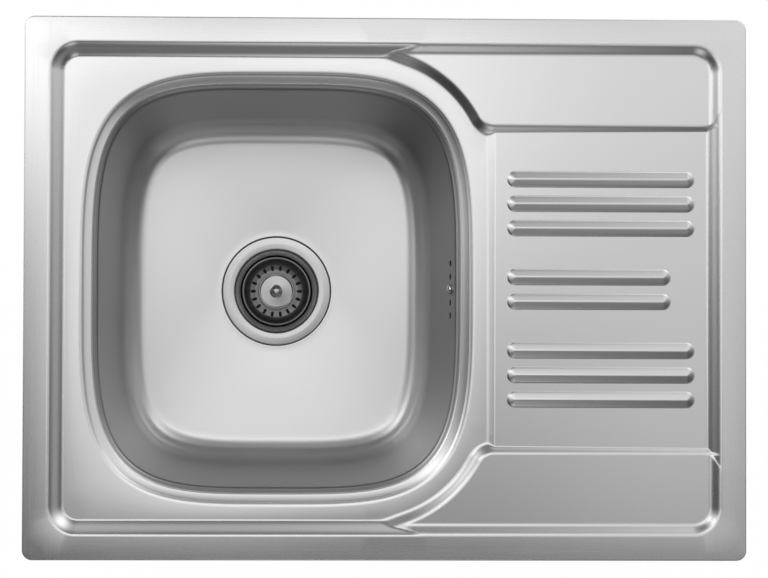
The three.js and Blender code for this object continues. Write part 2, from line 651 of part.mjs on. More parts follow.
/** The clip's bracket: it grips the rail's foot and holds the screw further in. */
function clipBracket() {
  const [t, half] = [CLIP_SHEET, CLIP_WIDTH / 2];
  const grip = RAIL_INSET + RAIL_FOOT_WIDTH + FIT_GAP;
  const top = RAIL_FOOT_Z + RAIL_SHEET + FIT_GAP;
  const low = RAIL_FOOT_Z - FIT_GAP;
  const profile = [
    [RAIL_INSET + 4, low - t],
    [CLIP_SCREW_INSET + half, low - t],
    [CLIP_SCREW_INSET + half, low],
    [grip + t, low],
    [grip + t, top + t],
    [grip - 6, top + t],
    [grip - 6, top],
    [grip, top],
    [grip, low],
    [RAIL_INSET + 4, low],
  ];
  const standing = new THREE.Matrix4().makeBasis(
    new THREE.Vector3(0, 1, 0), new THREE.Vector3(0, 0, 1), new THREE.Vector3(1, 0, 0));
  const bar = solid(prism(profile, -half, half), standing);
  const hole = post(CLIP_SCREW_RADIUS + FIT_GAP, low - t - 1, low + 1, { y: CLIP_SCREW_INSET, steps: 16 });
  return bar.subtract(hole);
}

const CLIP_PLATE_TOP = RAIL_FOOT_Z - FIT_GAP;
const CLIP_HEAD_TOP = CLIP_PLATE_TOP - CLIP_SCREW_LENGTH;

/** The clip's screw: a collar over the bracket, a long shank and a slotted head below. */
function clipScrew() {
  const [shank, head] = [CLIP_SCREW_RADIUS, CLIP_HEAD_RADIUS];
  const collarLow = CLIP_PLATE_TOP + FIT_GAP;
  const body = solid(turned([
    [0, CLIP_HEAD_TOP - CLIP_HEAD_HEIGHT],
    [head - 1, CLIP_HEAD_TOP - CLIP_HEAD_HEIGHT],
    [head, CLIP_HEAD_TOP - CLIP_HEAD_HEIGHT + 1],
    [head, CLIP_HEAD_TOP],
    [shank, CLIP_HEAD_TOP],
    [shank, collarLow],
    [shank + 1.6, collarLow],
    [shank + 1.6, collarLow + 1.8],
    [0, collarLow + 2.6],
  ], 8));
  const low = CLIP_HEAD_TOP - CLIP_HEAD_HEIGHT;
  return body.subtract(block([-head - 1, -0.6, low - 1], [head + 1, 0.6, low + 1.6]));
}

/** The clip's jaw along +X, bored for the screw, with its claws turned up at the tip. */
function clipJaw() {
  const base = CLIP_HEAD_TOP + FIT_GAP;
  const [hub, tip, half] = [7, JAW_REACH, JAW_WIDTH / 2];
  const profile = [
    [-hub, 0], [hub, 0], [tip - 3, 5.5], [tip, 9], [tip - 1.6, 9], [tip - 3.4, 7],
    [tip - 4.8, 8.8], [tip - 7.2, 6.4], [hub + 2, 2.6], [hub, JAW_HUB_HEIGHT], [-hub, JAW_HUB_HEIGHT],
  ];
  const bar = solid(prism(profile, -half, half), move(0, 0, base).multiply(turnX(Math.PI / 2)));
  return bar.subtract(post(CLIP_SCREW_RADIUS + FIT_GAP, base - 1, base + JAW_HUB_HEIGHT + 1, { steps: 16 }));
}

// ---- waste --------------------------------------------------------------------------------------

/** The stainless cup of the waste, clamped into the bowl's dish; z = 0 is the bowl's seat. */
function wasteFlange() {
  const t = WASTE_SHEET;
  const top = FLANGE_GASKET_HEIGHT + t;
  const rim = WASTE_RIM_RADIUS;
  const flat = WASTE_RIM_FLAT_RADIUS;
  const cup = WASTE_CUP_RADIUS;
  const throat = DRAIN_HOLE_RADIUS - FIT_GAP - 0.5;
  const cupFoot = -WASTE_CUP_DEPTH;
  const dimple = WASTE_DIMPLE_DEPTH;
  const body = solid(turned([
    [CENTRE_SCREW_RADIUS + FIT_GAP, cupFoot + t - dimple],
    [WASTE_DIMPLE_RADIUS - 1.5, cupFoot + t - dimple],
    [WASTE_DIMPLE_RADIUS, cupFoot + t],
    [cup - 2.5, cupFoot + t],
    [cup, cupFoot + t + 2.5],
    [cup, -WASTE_FUNNEL_DEPTH],
    [throat - t, -t],
    [throat - t + 0.5, top - 1.2],
    [flat, top],
    [rim - 0.6, top],
    [rim + 0.4, top - 0.6],
    [rim + 0.4, FIT_GAP],
    [rim - 0.5, FIT_GAP],
    [rim - 0.5, FLANGE_GASKET_HEIGHT],
    [throat + 1.2, FLANGE_GASKET_HEIGHT],
    [throat, FLANGE_GASKET_HEIGHT - 0.9],
    [throat, -t - 0.4],
    [cup + t, -WASTE_FUNNEL_DEPTH - 0.6],
    [cup + t, cupFoot + 2.5],
    [cup - 2, cupFoot],
    [WASTE_DIMPLE_RADIUS + 0.4, cupFoot],
    [WASTE_DIMPLE_RADIUS - 1.1, cupFoot - dimple],
    [CENTRE_SCREW_RADIUS + FIT_GAP, cupFoot - dimple],
  ]));
  const ports = Array.from({ length: WASTE_PORTS }, (_, k) => {
    const mid = (k / WASTE_PORTS) * 2 * Math.PI;
    const half = Math.PI / WASTE_PORTS - 0.11;
    const outer = arc(0, 0, WASTE_PORT_OUTER, mid - half, mid + half, 5, 1);
    const inner = arc(0, 0, WASTE_PORT_INNER, mid + half - 0.12, mid - half + 0.12, 3, 1);
    return solid(prism([...outer, ...inner].map((p) => [p.x, p.y]), cupFoot - 1, cupFoot + t + 1));
  });
  return body.subtract(union(...ports));
}

const washer = (inner, outer, low, high) => solid(turned([
  [inner, low], [outer, low], [outer, high], [inner, high]]));

const BODY_TOP = -SHEET - BODY_GASKET_HEIGHT;
const HUB_TOP = -WASTE_CUP_DEPTH - WASTE_DIMPLE_DEPTH - FIT_GAP;

/** A hose coupling along +Z from z = 0: a shoulder for the nut and a nipple with its bore. */
function coupling() {
  const shoulder = post(COUPLING_RADIUS, -COUPLING_INSIDE, COUPLING_LENGTH, { steps: 20 });
  return shoulder.add(post(NIPPLE_RADIUS, 0, COUPLING_LENGTH + NIPPLE_LENGTH, { steps: 20 }));
}

const couplingBore = (inside) => (
  post(NIPPLE_BORE, -inside, COUPLING_LENGTH + NIPPLE_LENGTH + 1, { steps: 16 })
);

const SPIGOT_ROOT = WASTE_CUP_RADIUS + WASTE_SHEET + 2 + BODY_WALL + 4;
const placeSpigot = move(SPIGOT_ROOT, 0, -SPIGOT_DEPTH).multiply(turnY(Math.PI / 2));

/** The moulded body under the bowl, with the outlet, the overflow spigot and the screw's hub. */
function wasteBody() {
  const inner = WASTE_CUP_RADIUS + WASTE_SHEET + 1.2;
  const outer = inner + BODY_WALL;
  const bore = OUTLET_RADIUS - BODY_WALL;
  const filled = solid(turned([
    [0, BODY_TOP],
    [BODY_RIM_RADIUS, BODY_TOP],
    [BODY_RIM_RADIUS, BODY_TOP - BODY_RIM_HEIGHT],
    [outer, BODY_TOP - BODY_RIM_HEIGHT],
    [outer, -SPIGOT_DEPTH - 4],
    [outer - 3, -SPIGOT_DEPTH - 10],
    [OUTLET_RADIUS, -OUTLET_TOP],
    [OUTLET_RADIUS, -OUTLET_END],
    [0, -OUTLET_END],
  ]));
  const cavity = solid(turned([
    [0, BODY_TOP + 1],
    [DRAIN_HOLE_RADIUS - 0.5, BODY_TOP + 1],
    [DRAIN_HOLE_RADIUS - 0.5, BODY_TOP],
    [inner, -WASTE_FUNNEL_DEPTH - 2.5],
    [inner, -SPIGOT_DEPTH - 3],
    [inner - 3, -SPIGOT_DEPTH - 7.5],
    [bore, -OUTLET_TOP + 2],
    [bore, -OUTLET_END - 1],
    [0, -OUTLET_END - 1],
  ]));
  const hubLow = HUB_TOP - HUB_HEIGHT;
  const webHeight = HUB_HEIGHT - 4;
  const webs = [0, 1, 2].map((k) => {
    const web = new THREE.BoxGeometry(inner + 1, 3, webHeight);
    const out = move((inner + 1) / 2, 0, hubLow + webHeight / 2);
    return solid(web, turnZ(((k * 2 + 1) * Math.PI) / 3).multiply(out));
  });
  const hub = union(post(HUB_RADIUS, hubLow, HUB_TOP), ...webs);
  const shell = filled.add(transformed(coupling(), placeSpigot)).subtract(cavity.subtract(hub));
  const insertPocket = post(INSERT_RADIUS + FIT_GAP, HUB_TOP - INSERT_HEIGHT - FIT_GAP, HUB_TOP + 1);
  const screwBore = post(CENTRE_SCREW_RADIUS + FIT_GAP, hubLow - 1, HUB_TOP + 1, { steps: 16 });
  const spigotBore = transformed(couplingBore(SPIGOT_ROOT - inner + 4), placeSpigot);
  return shell.subtract(union(insertPocket, screwBore, spigotBore));
}

/** A solid moved by a matrix. */
function transformed(body, matrix) {
  return solid(geometryOf(body), matrix);
}

function centreScrew() {
  const seat = -WASTE_CUP_DEPTH + WASTE_SHEET - WASTE_DIMPLE_DEPTH + FIT_GAP;
  const end = HUB_TOP - HUB_HEIGHT;
  const body = solid(turned([
    [0, end],
    [CENTRE_SCREW_RADIUS - 0.6, end],
    [CENTRE_SCREW_RADIUS, end + 1],
    [CENTRE_SCREW_RADIUS, seat],
    [CENTRE_HEAD_RADIUS, seat],
    [CENTRE_HEAD_RADIUS, seat + 1],
    [CENTRE_HEAD_RADIUS - 2.5, seat + CENTRE_HEAD_HEIGHT],
    [0, seat + CENTRE_HEAD_HEIGHT],
  ], 16));
  const top = seat + CENTRE_HEAD_HEIGHT;
  const slot = block([-CENTRE_HEAD_RADIUS, -0.7, top - 1], [CENTRE_HEAD_RADIUS, 0.7, top + 1]);
  return body.subtract(slot);
}

function screwInsert() {
  const top = HUB_TOP - FIT_GAP;
  return washer(CENTRE_SCREW_RADIUS + FIT_GAP, INSERT_RADIUS, top - INSERT_HEIGHT + FIT_GAP, top);
}

// ---- strainer basket ----------------------------------------------------------------------------

const BASKET_TOP = -BASKET_RIM_DEPTH;
const BASKET_FLOOR = BASKET_TOP - BASKET_DEPTH;
const PLATE_TOP = -WASTE_CUP_DEPTH + WASTE_SHEET;
const BASKET_SEAL_TOP = PLATE_TOP + FIT_GAP + BASKET_SEAL_HEIGHT;

/** The basket: a rolled rim, a tapered wall and a floor, slotted where wall and floor meet. */
function basket() {
  const [t, rim, floor] = [SHEET, BASKET_RIM_RADIUS, BASKET_FLOOR_RADIUS];
  const body = solid(turned([
    [STEM_RADIUS + FIT_GAP, BASKET_FLOOR],
    [floor, BASKET_FLOOR],
    [floor + 3.2, BASKET_FLOOR + 1.2],
    [floor + 5.8, BASKET_FLOOR + 4],
    [rim - 2.6, BASKET_TOP - 1.2],
    [rim - 1.6, BASKET_TOP],
    [rim - 0.5, BASKET_TOP],
    [rim, BASKET_TOP - 0.5],
    [rim, BASKET_TOP - 1.6],
    [rim - 1.6, BASKET_TOP - 2],
    [floor + 5.8 + t, BASKET_FLOOR + 3.6],
    [floor + 3.6, BASKET_FLOOR + 0.4],
    [floor, BASKET_FLOOR - t],
    [STEM_RADIUS + FIT_GAP, BASKET_FLOOR - t],
  ], 36));
  const slots = Array.from({ length: BASKET_SLOTS }, (_, k) => {
    const length = BASKET_SLOT_OUTER - BASKET_SLOT_INNER;
    const cutter = new THREE.BoxGeometry(length, BASKET_SLOT_WIDTH, BASKET_DEPTH);
    const out = move((BASKET_SLOT_OUTER + BASKET_SLOT_INNER) / 2, 0, BASKET_FLOOR);
    return solid(cutter, turnZ((k / BASKET_SLOTS) * 2 * Math.PI).multiply(out));
  });
  return body.subtract(union(...slots));
}

function basketSeal() {
  const low = PLATE_TOP + FIT_GAP;
  return solid(turned([
    [STEM_RADIUS + FIT_GAP, low + 0.8],
    [BASKET_SEAL_RADIUS - 3, low + 0.8],
    [BASKET_SEAL_RADIUS - 2, low],
    [BASKET_SEAL_RADIUS, low],
    [BASKET_SEAL_RADIUS, low + 1.2],
    [BASKET_SEAL_RADIUS - 3, BASKET_SEAL_TOP],
    [STEM_RADIUS + FIT_GAP, BASKET_SEAL_TOP],
  ]));
}

const KNOB_LOW = BASKET_TOP + 0.6;

/** The stem: a foot in the seal, a collar under the basket's floor and a shank up to the knob. */
function basketStem() {
  const collarTop = BASKET_FLOOR - SHEET - FIT_GAP;
  const collarLow = BASKET_SEAL_TOP + FIT_GAP;
  return solid(turned([
    [0, BASKET_SEAL_TOP - 1.4],
    [STEM_RADIUS, BASKET_SEAL_TOP - 1.4],
    [STEM_RADIUS, collarLow],
    [STEM_COLLAR_RADIUS, collarLow],
    [STEM_COLLAR_RADIUS, collarTop],
    [STEM_RADIUS, collarTop],
    [STEM_RADIUS, KNOB_LOW - FIT_GAP],
    [0, KNOB_LOW - FIT_GAP],
  ], 20));
}

function basketKnob() {
  const top = KNOB_LOW + KNOB_HEIGHT;
  const dome = [0, 1, 2, 3].map((k) => {
    const angle = (k / 3) * (Math.PI / 2);
    return [KNOB_DOME_RADIUS * Math.cos(angle), top - 0.5 + (KNOB_DOME_RADIUS - 1.6) * Math.sin(angle)];
  });
  dome[3][0] = 0;
  return solid(turned([
    [0, KNOB_LOW],
    [KNOB_RADIUS - 2.6, KNOB_LOW],
    [KNOB_RADIUS - 1.4, KNOB_LOW - 0.9],
    [KNOB_RADIUS, KNOB_LOW],
    [KNOB_RADIUS, top - 1],
    [KNOB_RADIUS - 1.1, top],
    [KNOB_RADIUS - 2.4, top - 0.5],
    ...dome,
  ], 24));
}

// ---- overflow -----------------------------------------------------------------------------------

const OVERFLOW_WALL_OUT = OVERFLOW_WALL_X + SHEET / Math.cos(BOWL_TAPER);

/** An upright plate or box whose broad side faces the bowl's wall; x = 0 is that side. */
function standingBox(length, height, from, to, radius = 8) {
  const outline = roundedRectangle(length, height, radius, 4).map((p) => [p.x, p.y]);
  const upright = new THREE.Matrix4().makeBasis(
    new THREE.Vector3(0, 1, 0), new THREE.Vector3(0, 0, 1), new THREE.Vector3(1, 0, 0));
  return solid(prism(outline, from, to), upright);
}

/** Where the overflow sits: behind the wall, tilted as the wall is. */
const placeOverflow = move(OVERFLOW_WALL_OUT + FIT_GAP, 0, OVERFLOW_Z).multiply(turnY(BOWL_TAPER));

function overflowGasket() {
  const { length, height, thick } = OVERFLOW_GASKET;
  const plate = standingBox(length, height, 0, thick);
  return transformed(plate.subtract(standingBox(length - 10, height - 10, -1, thick + 1, 6)), placeOverflow);
}

const HOUSING_FROM = OVERFLOW_GASKET.thick + FIT_GAP;
const COUPLING_TOP_Z = OVERFLOW_Z - OVERFLOW_BOX.height / 2 - 2;
const placeTopCoupling = move(HOSE_X, 0, COUPLING_TOP_Z).multiply(turnX(Math.PI));

function overflowHousing() {
  const { length, height, depth, wall } = OVERFLOW_BOX;
  const box = transformed(standingBox(length, height, HOUSING_FROM, HOUSING_FROM + depth), placeOverflow);
  const inside = standingBox(
    length - 2 * wall, height - 2 * wall, HOUSING_FROM - 1, HOUSING_FROM + depth - wall, 6);
  const room = transformed(inside, placeOverflow);
  const nib = transformed(standingBox(12, 12, HOUSING_FROM, HOUSING_FROM + depth, 5.5), placeOverflow);
  const screwHole = solid(
    new THREE.CylinderGeometry(CLIP_SCREW_RADIUS + FIT_GAP, CLIP_SCREW_RADIUS + FIT_GAP, 24, 12),
    placeOverflow.clone().multiply(turnZ(Math.PI / 2)));
  const outside = box.add(transformed(coupling(), placeTopCoupling));
  const bore = transformed(couplingBore(COUPLING_INSIDE + 1), placeTopCoupling);
  return outside.subtract(room.subtract(nib)).subtract(bore).subtract(screwHole);
}

/** The overflow's screw: a domed head inside the bowl and a shank into the housing's nib. */
function overflowScrew() {
  const head = SHEET + FIT_GAP * 2;
  const shank = solid(turned([
    [0, 0],
    [4.6, 0],
    [4.2, 1.2],
    [2.4, 2.2],
    [0, 2.5],
  ], 16), move(-head, 0, 0).multiply(turnY(-Math.PI / 2)));
  const pin = solid(new THREE.CylinderGeometry(CLIP_SCREW_RADIUS, CLIP_SCREW_RADIUS, 12, 12),
    move(6 - head - 0.2, 0, 0).multiply(turnZ(Math.PI / 2)));
  const slot = block([-head - 3, -3.5, -0.5], [-head - 1.4, 3.5, 0.5]);
  return transformed(shank.add(pin).subtract(slot), placeOverflow);
}

/** The hose's centre line: down from the overflow, round one bend and along to the waste. */
class HoseLine extends THREE.Curve {
  constructor() {
    super();
    this.start = new THREE.Vector3(HOSE_X, 0, COUPLING_TOP_Z - COUPLING_LENGTH - FIT_GAP);
    this.end = new THREE.Vector3(BOWL_X + SPIGOT_ROOT + COUPLING_LENGTH + FIT_GAP, 0, SEAT_Z - SPIGOT_DEPTH);
    this.fall = this.start.z - this.end.z - HOSE_BEND;
    this.sweep = (HOSE_BEND * Math.PI) / 2;
    this.along = this.start.x - HOSE_BEND - this.end.x;
  }

  get length() {
    return this.fall + this.sweep + this.along;
  }

  /** The point and the sideways direction in the XZ plane at a distance from the start. */
  at(distance) {
    const past = Math.min(Math.max(distance - this.fall, 0), this.sweep);
    const angle = past / HOSE_BEND;
    const centre = new THREE.Vector3(this.start.x - HOSE_BEND, 0, this.end.z + HOSE_BEND);
    const side = new THREE.Vector3(Math.cos(angle), 0, -Math.sin(angle));
    const point = centre.addScaledVector(side, HOSE_BEND);
    const heading = new THREE.Vector3(-Math.sin(angle), 0, -Math.cos(angle));
    return { point: point.addScaledVector(heading, distance - this.fall - past), side };
  }

  getPoint(part) {
    return this.at(part * this.length).point;
  }
}

const hoseLine = new HoseLine();

/** The ribbed overflow hose: smooth cuffs, a crest and a root for each rib, and its bore. */
function overflowHose() {
  const circle = (distance, radius) => {
    const { point, side } = hoseLine.at(distance);
    return Array.from({ length: HOSE_SIDES }, (_, k) => {
      const angle = ((k + 0.5) / HOSE_SIDES) * 2 * Math.PI;
      return point.clone()
        .addScaledVector(side, radius * Math.cos(angle))
        .add(new THREE.Vector3(0, radius * Math.sin(angle), 0));
    });
  };
  const { length } = hoseLine;
  const ribs = Math.floor((length - 2 * HOSE_CUFF_LENGTH) / HOSE_RIB_PITCH);
  const first = (length - ribs * HOSE_RIB_PITCH) / 2;
  const outside = [circle(0, HOSE_CUFF), circle(first - 1.5, HOSE_CUFF)];
  for (let k = 0; k < ribs; k += 1) {
    outside.push(circle(first + k * HOSE_RIB_PITCH, HOSE_ROOT));
    outside.push(circle(first + (k + 0.5) * HOSE_RIB_PITCH, HOSE_CREST));
  }
  outside.push(circle(length - first, HOSE_ROOT), circle(length - first + 1.5, HOSE_CUFF));
  outside.push(circle(length, HOSE_CUFF));
  const rings = Math.max(4, Math.round(ribs / 5) + 3);
  const bore = Array.from({ length: rings }, (_, k) => (
    circle(length * (1 - k / (rings - 1)), HOSE_BORE)
  ));
  return solid(loft([...outside, ...bore], { loop: true }));
}

/** The least gap between stretches of the hose that are not neighbours. */
function hoseSelfGap() {
  const points = hoseLine.getPoints(60);
  const apart = Math.ceil((4 * HOSE_CREST) / (hoseLine.length / 60));
  let least = Infinity;
  for (let i = 0; i < points.length; i += 1) {
    for (let j = i + apart; j < points.length; j += 1) {
      least = Math.min(least, points[i].distanceTo(points[j]) - 2 * HOSE_CREST);
    }
  }
  return least;
}

/** A fluted union nut along +Z that grips the coupling's shoulder and the hose's cuff. */
function hoseNut() {
  const outline = Array.from({ length: NUT_FLUTES * 2 }, (_, k) => {
    const radius = k % 2 === 0 ? NUT_RADIUS : NUT_RADIUS - 1.3;
    const angle = (k / (NUT_FLUTES * 2)) * 2 * Math.PI;
    return [radius * Math.cos(angle), radius * Math.sin(angle)];
  });
  const low = COUPLING_LENGTH - 7;
  const body = solid(prism(outline, low, low + NUT_LENGTH));
  return body.subtract(post(COUPLING_RADIUS + FIT_GAP, low - 1, low + NUT_LENGTH + 1, { steps: 24 }));
}

// ---- assembly -----------------------------------------------------------------------------------

const sink = new THREE.Group();

/** Adds a named mesh to a group. */
function put(parent, name, body, material) {
  const mesh = new THREE.Mesh(geometryOf(body), material);
  mesh.name = name;
  parent.add(mesh);
  return mesh;
}

put(sink, 'sink_top', sinkTop(), steel());
put(sink, 'sink_bowl', sinkBowl(), steel());
put(sink, 'sound_pad', soundPad(), rubber());
put(sink, 'rim_seal', rimSeal(), foam());

// A side is turned so that its rim's edge lies at y = 0 and the sink inwards along +Y.
const [farX, farY] = [SINK_LENGTH / 2, SINK_WIDTH / 2];
const clipBackX = CLIP_FRONT_X.map((x) => -x);
const sides = [
  { name: 'front', x: 0, y: -farY, turn: 0, length: RAIL_LONG, clips: CLIP_FRONT_X, hand: 1 },
  { name: 'back', x: 0, y: farY, turn: Math.PI, length: RAIL_LONG, clips: clipBackX, hand: -1 },
  { name: 'left', x: -farX, y: 0, turn: -Math.PI / 2, length: RAIL_SHORT, clips: [0], hand: -1 },
  { name: 'right', x: farX, y: 0, turn: Math.PI / 2, length: RAIL_SHORT, clips: [0], hand: -1 },
];
for (const side of sides) {
  const group = new THREE.Group();
  group.position.set(side.x, side.y, 0);
  group.rotation.z = side.turn;
  sink.add(group);
  put(group, `rim_rail_${side.name}`, rail(side.length), plated());
  side.clips.forEach((x, k) => {
    const label = side.clips.length > 1 ? `${side.name}_${k + 1}` : side.name;
    const clip = new THREE.Group();
    clip.position.x = x;
    group.add(clip);
    put(clip, `clip_bracket_${label}`, clipBracket(), plated());
    const screw = put(clip, `clip_screw_${label}`, clipScrew(), plated());
    screw.position.y = CLIP_SCREW_INSET;
    const jaw = put(clip, `clip_jaw_${label}`, clipJaw(), plated());
    jaw.position.y = CLIP_SCREW_INSET;
    jaw.rotation.z = side.hand > 0 ? 0 : Math.PI;
  });
}

const waste = new THREE.Group();
waste.position.set(BOWL_X, 0, SEAT_Z);
sink.add(waste);
put(waste, 'waste_flange', wasteFlange(), steel());
put(waste, 'flange_gasket',
  washer(DRAIN_HOLE_RADIUS + 2, WASTE_RIM_RADIUS - 1.5, 0, FLANGE_GASKET_HEIGHT), rubber());
put(waste, 'body_gasket',
  washer(DRAIN_HOLE_RADIUS + 0.5, BODY_RIM_RADIUS - 1, BODY_TOP, -SHEET), rubber());
put(waste, 'waste_body', wasteBody(), plastic());
put(waste, 'centre_screw', centreScrew(), polished());
put(waste, 'screw_insert', screwInsert(), brass());
put(waste, 'basket', basket(), steel());
put(waste, 'basket_seal', basketSeal(), rubber());
put(waste, 'basket_stem', basketStem(), plated());
put(waste, 'basket_knob', basketKnob(), polished());

put(sink, 'overflow_gasket', overflowGasket(), rubber());
put(sink, 'overflow_housing', overflowHousing(), plastic());
put(sink, 'overflow_screw', overflowScrew(), polished());
put(sink, 'overflow_hose', overflowHose(), plastic());
put(sink, 'overflow_nut_top', transformed(hoseNut(), placeTopCoupling), plastic());
const placeBottomNut = move(BOWL_X, 0, SEAT_Z).multiply(placeSpigot);
put(sink, 'overflow_nut_bottom', transformed(hoseNut(), placeBottomNut), plastic());

const hoseLength = hoseLine.length.toFixed(1);
console.log(`hose length ${hoseLength} mm, least gap to itself ${hoseSelfGap().toFixed(1)} mm`);

export default sink;
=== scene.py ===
"""Dresses the inset kitchen sink with its ribbed drainboard for a studio picture from above.

Each sub-assembly is a class that holds its sizes in millimetres, builds its meshes and gives
them their finishes. A piece becomes metres when it is finished, and stays in the CAD frame:
X runs from the bowl to the drainer, Y to the back, and z = 0 is the worktop's upper face.
"""

import logging
import math
from dataclasses import dataclass, field
from enum import Enum

import bmesh
import bpy
import numpy as np
from mathutils import Matrix, Vector
from mathutils.geometry import delaunay_2d_cdt


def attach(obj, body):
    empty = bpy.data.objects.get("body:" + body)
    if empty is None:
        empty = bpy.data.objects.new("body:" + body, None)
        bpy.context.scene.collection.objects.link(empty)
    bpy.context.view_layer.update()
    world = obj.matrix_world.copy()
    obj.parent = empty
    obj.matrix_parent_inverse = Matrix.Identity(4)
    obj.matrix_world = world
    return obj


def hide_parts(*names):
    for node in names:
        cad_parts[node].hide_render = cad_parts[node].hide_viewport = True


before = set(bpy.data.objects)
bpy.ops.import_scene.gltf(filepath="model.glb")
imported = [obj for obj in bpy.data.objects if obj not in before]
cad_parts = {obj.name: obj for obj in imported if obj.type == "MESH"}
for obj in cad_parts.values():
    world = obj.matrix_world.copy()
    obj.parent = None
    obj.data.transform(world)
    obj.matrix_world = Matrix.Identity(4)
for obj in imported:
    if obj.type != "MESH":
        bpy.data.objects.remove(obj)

LOG = logging.getLogger("sink")
MM = 0.001
RIM_LENGTH = 640.0
RIM_WIDTH = 480.0
RIM_CORNER = 9.0
SURROUND_Z = -5.0
LEDGE_WIDTH = 8.7
STEEL_SHEET = 0.8
WALL_TAPER = 3.5
BOWL_X = -96.5
SEAT_Z = -168.0
SINK_BODY = "sink"
BASKET_BODY = "strainer_basket"
BRANCH_X = 48.2
BRANCH_Z = -32.0
WELD = 1e-4
Z_TO_X = Matrix(((0, 0, 1, 0), (1, 0, 0, 0), (0, 1, 0, 0), (0, 0, 0, 1)))


# ---- small numeric tools ---------------------------------------------------------------------


def smooth_max(a: np.ndarray, b: np.ndarray, reach: float) -> np.ndarray:
    """Larger of two heights, with a soft valley where they meet.

    Args:
        a: First heights.
        b: Second heights.
        reach: Height difference over which the two blend.

    Returns:
        The blended heights.
    """
    near = np.maximum(reach - np.abs(a - b), 0.0) / reach
    return np.maximum(a, b) + near * near * reach / 4.0


def smooth_min(a: np.ndarray, b: np.ndarray, reach: float) -> np.ndarray:
    """Smaller of two heights, with a soft crest where they meet."""
    return -smooth_max(-np.asarray(a), -np.asarray(b), reach)


def rounded_profile(
    corners: list[tuple[float, float, float]], steps: int = 5, closed: bool = True
) -> list[tuple[float, float]]:
    """Rounds the corners of a flat profile.

    Args:
        corners: Points as (across, height, radius of the corner).
        steps: Segments in each rounded corner.
        closed: Whether the last point joins the first.

    Returns:
        The points of the rounded profile, in the same order.
    """
    made: list[tuple[float, float]] = []
    count = len(corners)
    for k, (x, y, radius) in enumerate(corners):
        at_end = not closed and k in (0, count - 1)
        if radius <= 0 or at_end:
            made.append((x, y))
            continue
        here = Vector((x, y))
        before = Vector(corners[k - 1][:2]) - here
        after = Vector(corners[(k + 1) % count][:2]) - here
        turn = before.angle(after)
        cut = min(radius / math.tan(turn / 2), before.length * 0.49, after.length * 0.49)
        start = here + before.normalized() * cut
        end = here + after.normalized() * cut
        for part in range(steps + 1):
            t = part / steps
            point = start * (1 - t) ** 2 + here * 2 * t * (1 - t) + end * t * t
            made.append((point.x, point.y))
    return made


def rounded_rectangle(
    length: float, width: float, radius: float, corner_steps: int = 12, side_step: float = 8.0
) -> np.ndarray:
    """Outline of a rectangle with round corners about the origin.

    Args:
        length: Size along X.
        width: Size along Y.
        radius: Corner radius.
        corner_steps: Segments in each corner.
        side_step: Longest segment of the straight sides.

    Returns:
        Rows of x, y and the direction that points inwards, anticlockwise from the right side.
    """
    half_x, half_y = length / 2 - radius, width / 2 - radius
    rows: list[tuple[float, float, float, float]] = []
    centres = [(half_x, half_y), (-half_x, half_y), (-half_x, -half_y), (half_x, -half_y)]
    for turn, (x, y) in enumerate(centres):
        for k in range(corner_steps + 1):
            angle = (turn + k / corner_steps) * math.pi / 2
            c, s = math.cos(angle), math.sin(angle)
            rows.append((x + radius * c, y + radius * s, -c, -s))
        end, (next_x, next_y) = rows[-1], centres[(turn + 1) % 4]
        run = math.hypot(next_x - x, next_y - y)
        for k in range(1, int(run // side_step)):
            part = k * side_step / run
            rows.append(
                (end[0] + (next_x - x) * part, end[1] + (next_y - y) * part, end[2], end[3])
            )
    return np.array(rows)


def offset(outline: np.ndarray, inset: float) -> np.ndarray:
    """Moves an outline inwards along its own directions and returns the x, y points."""
    return outline[:, :2] + outline[:, 2:4] * inset


# ---- mesh tools ------------------------------------------------------------------------------


def turned(profile: list[tuple[float, float]], steps: int = 96) -> bmesh.types.BMesh:
    """Spins a profile once round the Z axis.

    Args:
        profile: Points as (radius, height). It closes on itself unless it starts and ends on
            the axis.
        steps: Segments of the full turn.

    Returns:
        The closed solid of revolution.
    """
    bm = bmesh.new()
    verts = [bm.verts.new((radius, 0.0, height)) for radius, height in profile]
    pairs = list(zip(verts, verts[1:]))
    if profile[0][0] > 1e-6 or profile[-1][0] > 1e-6:
        pairs.append((verts[-1], verts[0]))
    edges = [bm.edges.new(pair) for pair in pairs]
    bmesh.ops.spin(
        bm,
        geom=[*verts, *edges],
        cent=(0, 0, 0),
        axis=(0, 0, 1),
        angle=2 * math.pi,
        steps=steps,
        use_merge=True,
    )
    bmesh.ops.remove_doubles(bm, verts=bm.verts[:], dist=WELD)
    bmesh.ops.recalc_face_normals(bm, faces=bm.faces[:])
    return bm


def prism(outline: list[tuple[float, float]], low: float, high: float) -> bmesh.types.BMesh:
    """Extrudes a closed outline along Z between two heights."""
    bm = bmesh.new()
    face = bm.faces.new([bm.verts.new((x, y, low)) for x, y in outline])
    grown = bmesh.ops.extrude_face_region(bm, geom=[face])["geom"]
    raised = [g for g in grown if isinstance(g, bmesh.types.BMVert)]
    bmesh.ops.translate(bm, verts=raised, vec=(0, 0, high - low))
    bmesh.ops.recalc_face_normals(bm, faces=bm.faces[:])
    return bm


def arc(radius: float, start: float, end: float, count: int) -> list[tuple[float, float]]:
    """Points on a circle about the origin, between two angles in degrees."""
    turn = [math.radians(a) for a in np.linspace(start, end, count)]
    return [(radius * math.cos(a), radius * math.sin(a)) for a in turn]


def rod(radius: float, depth: float, matrix: Matrix, segments: int = 32) -> bmesh.types.BMesh:
    """Solid round bar about the Z axis of a matrix."""
    bm = bmesh.new()
    bmesh.ops.create_cone(
        bm,
        cap_ends=True,
        segments=segments,
        radius1=radius,
        radius2=radius,
        depth=depth,
        matrix=matrix,
    )
    return bm


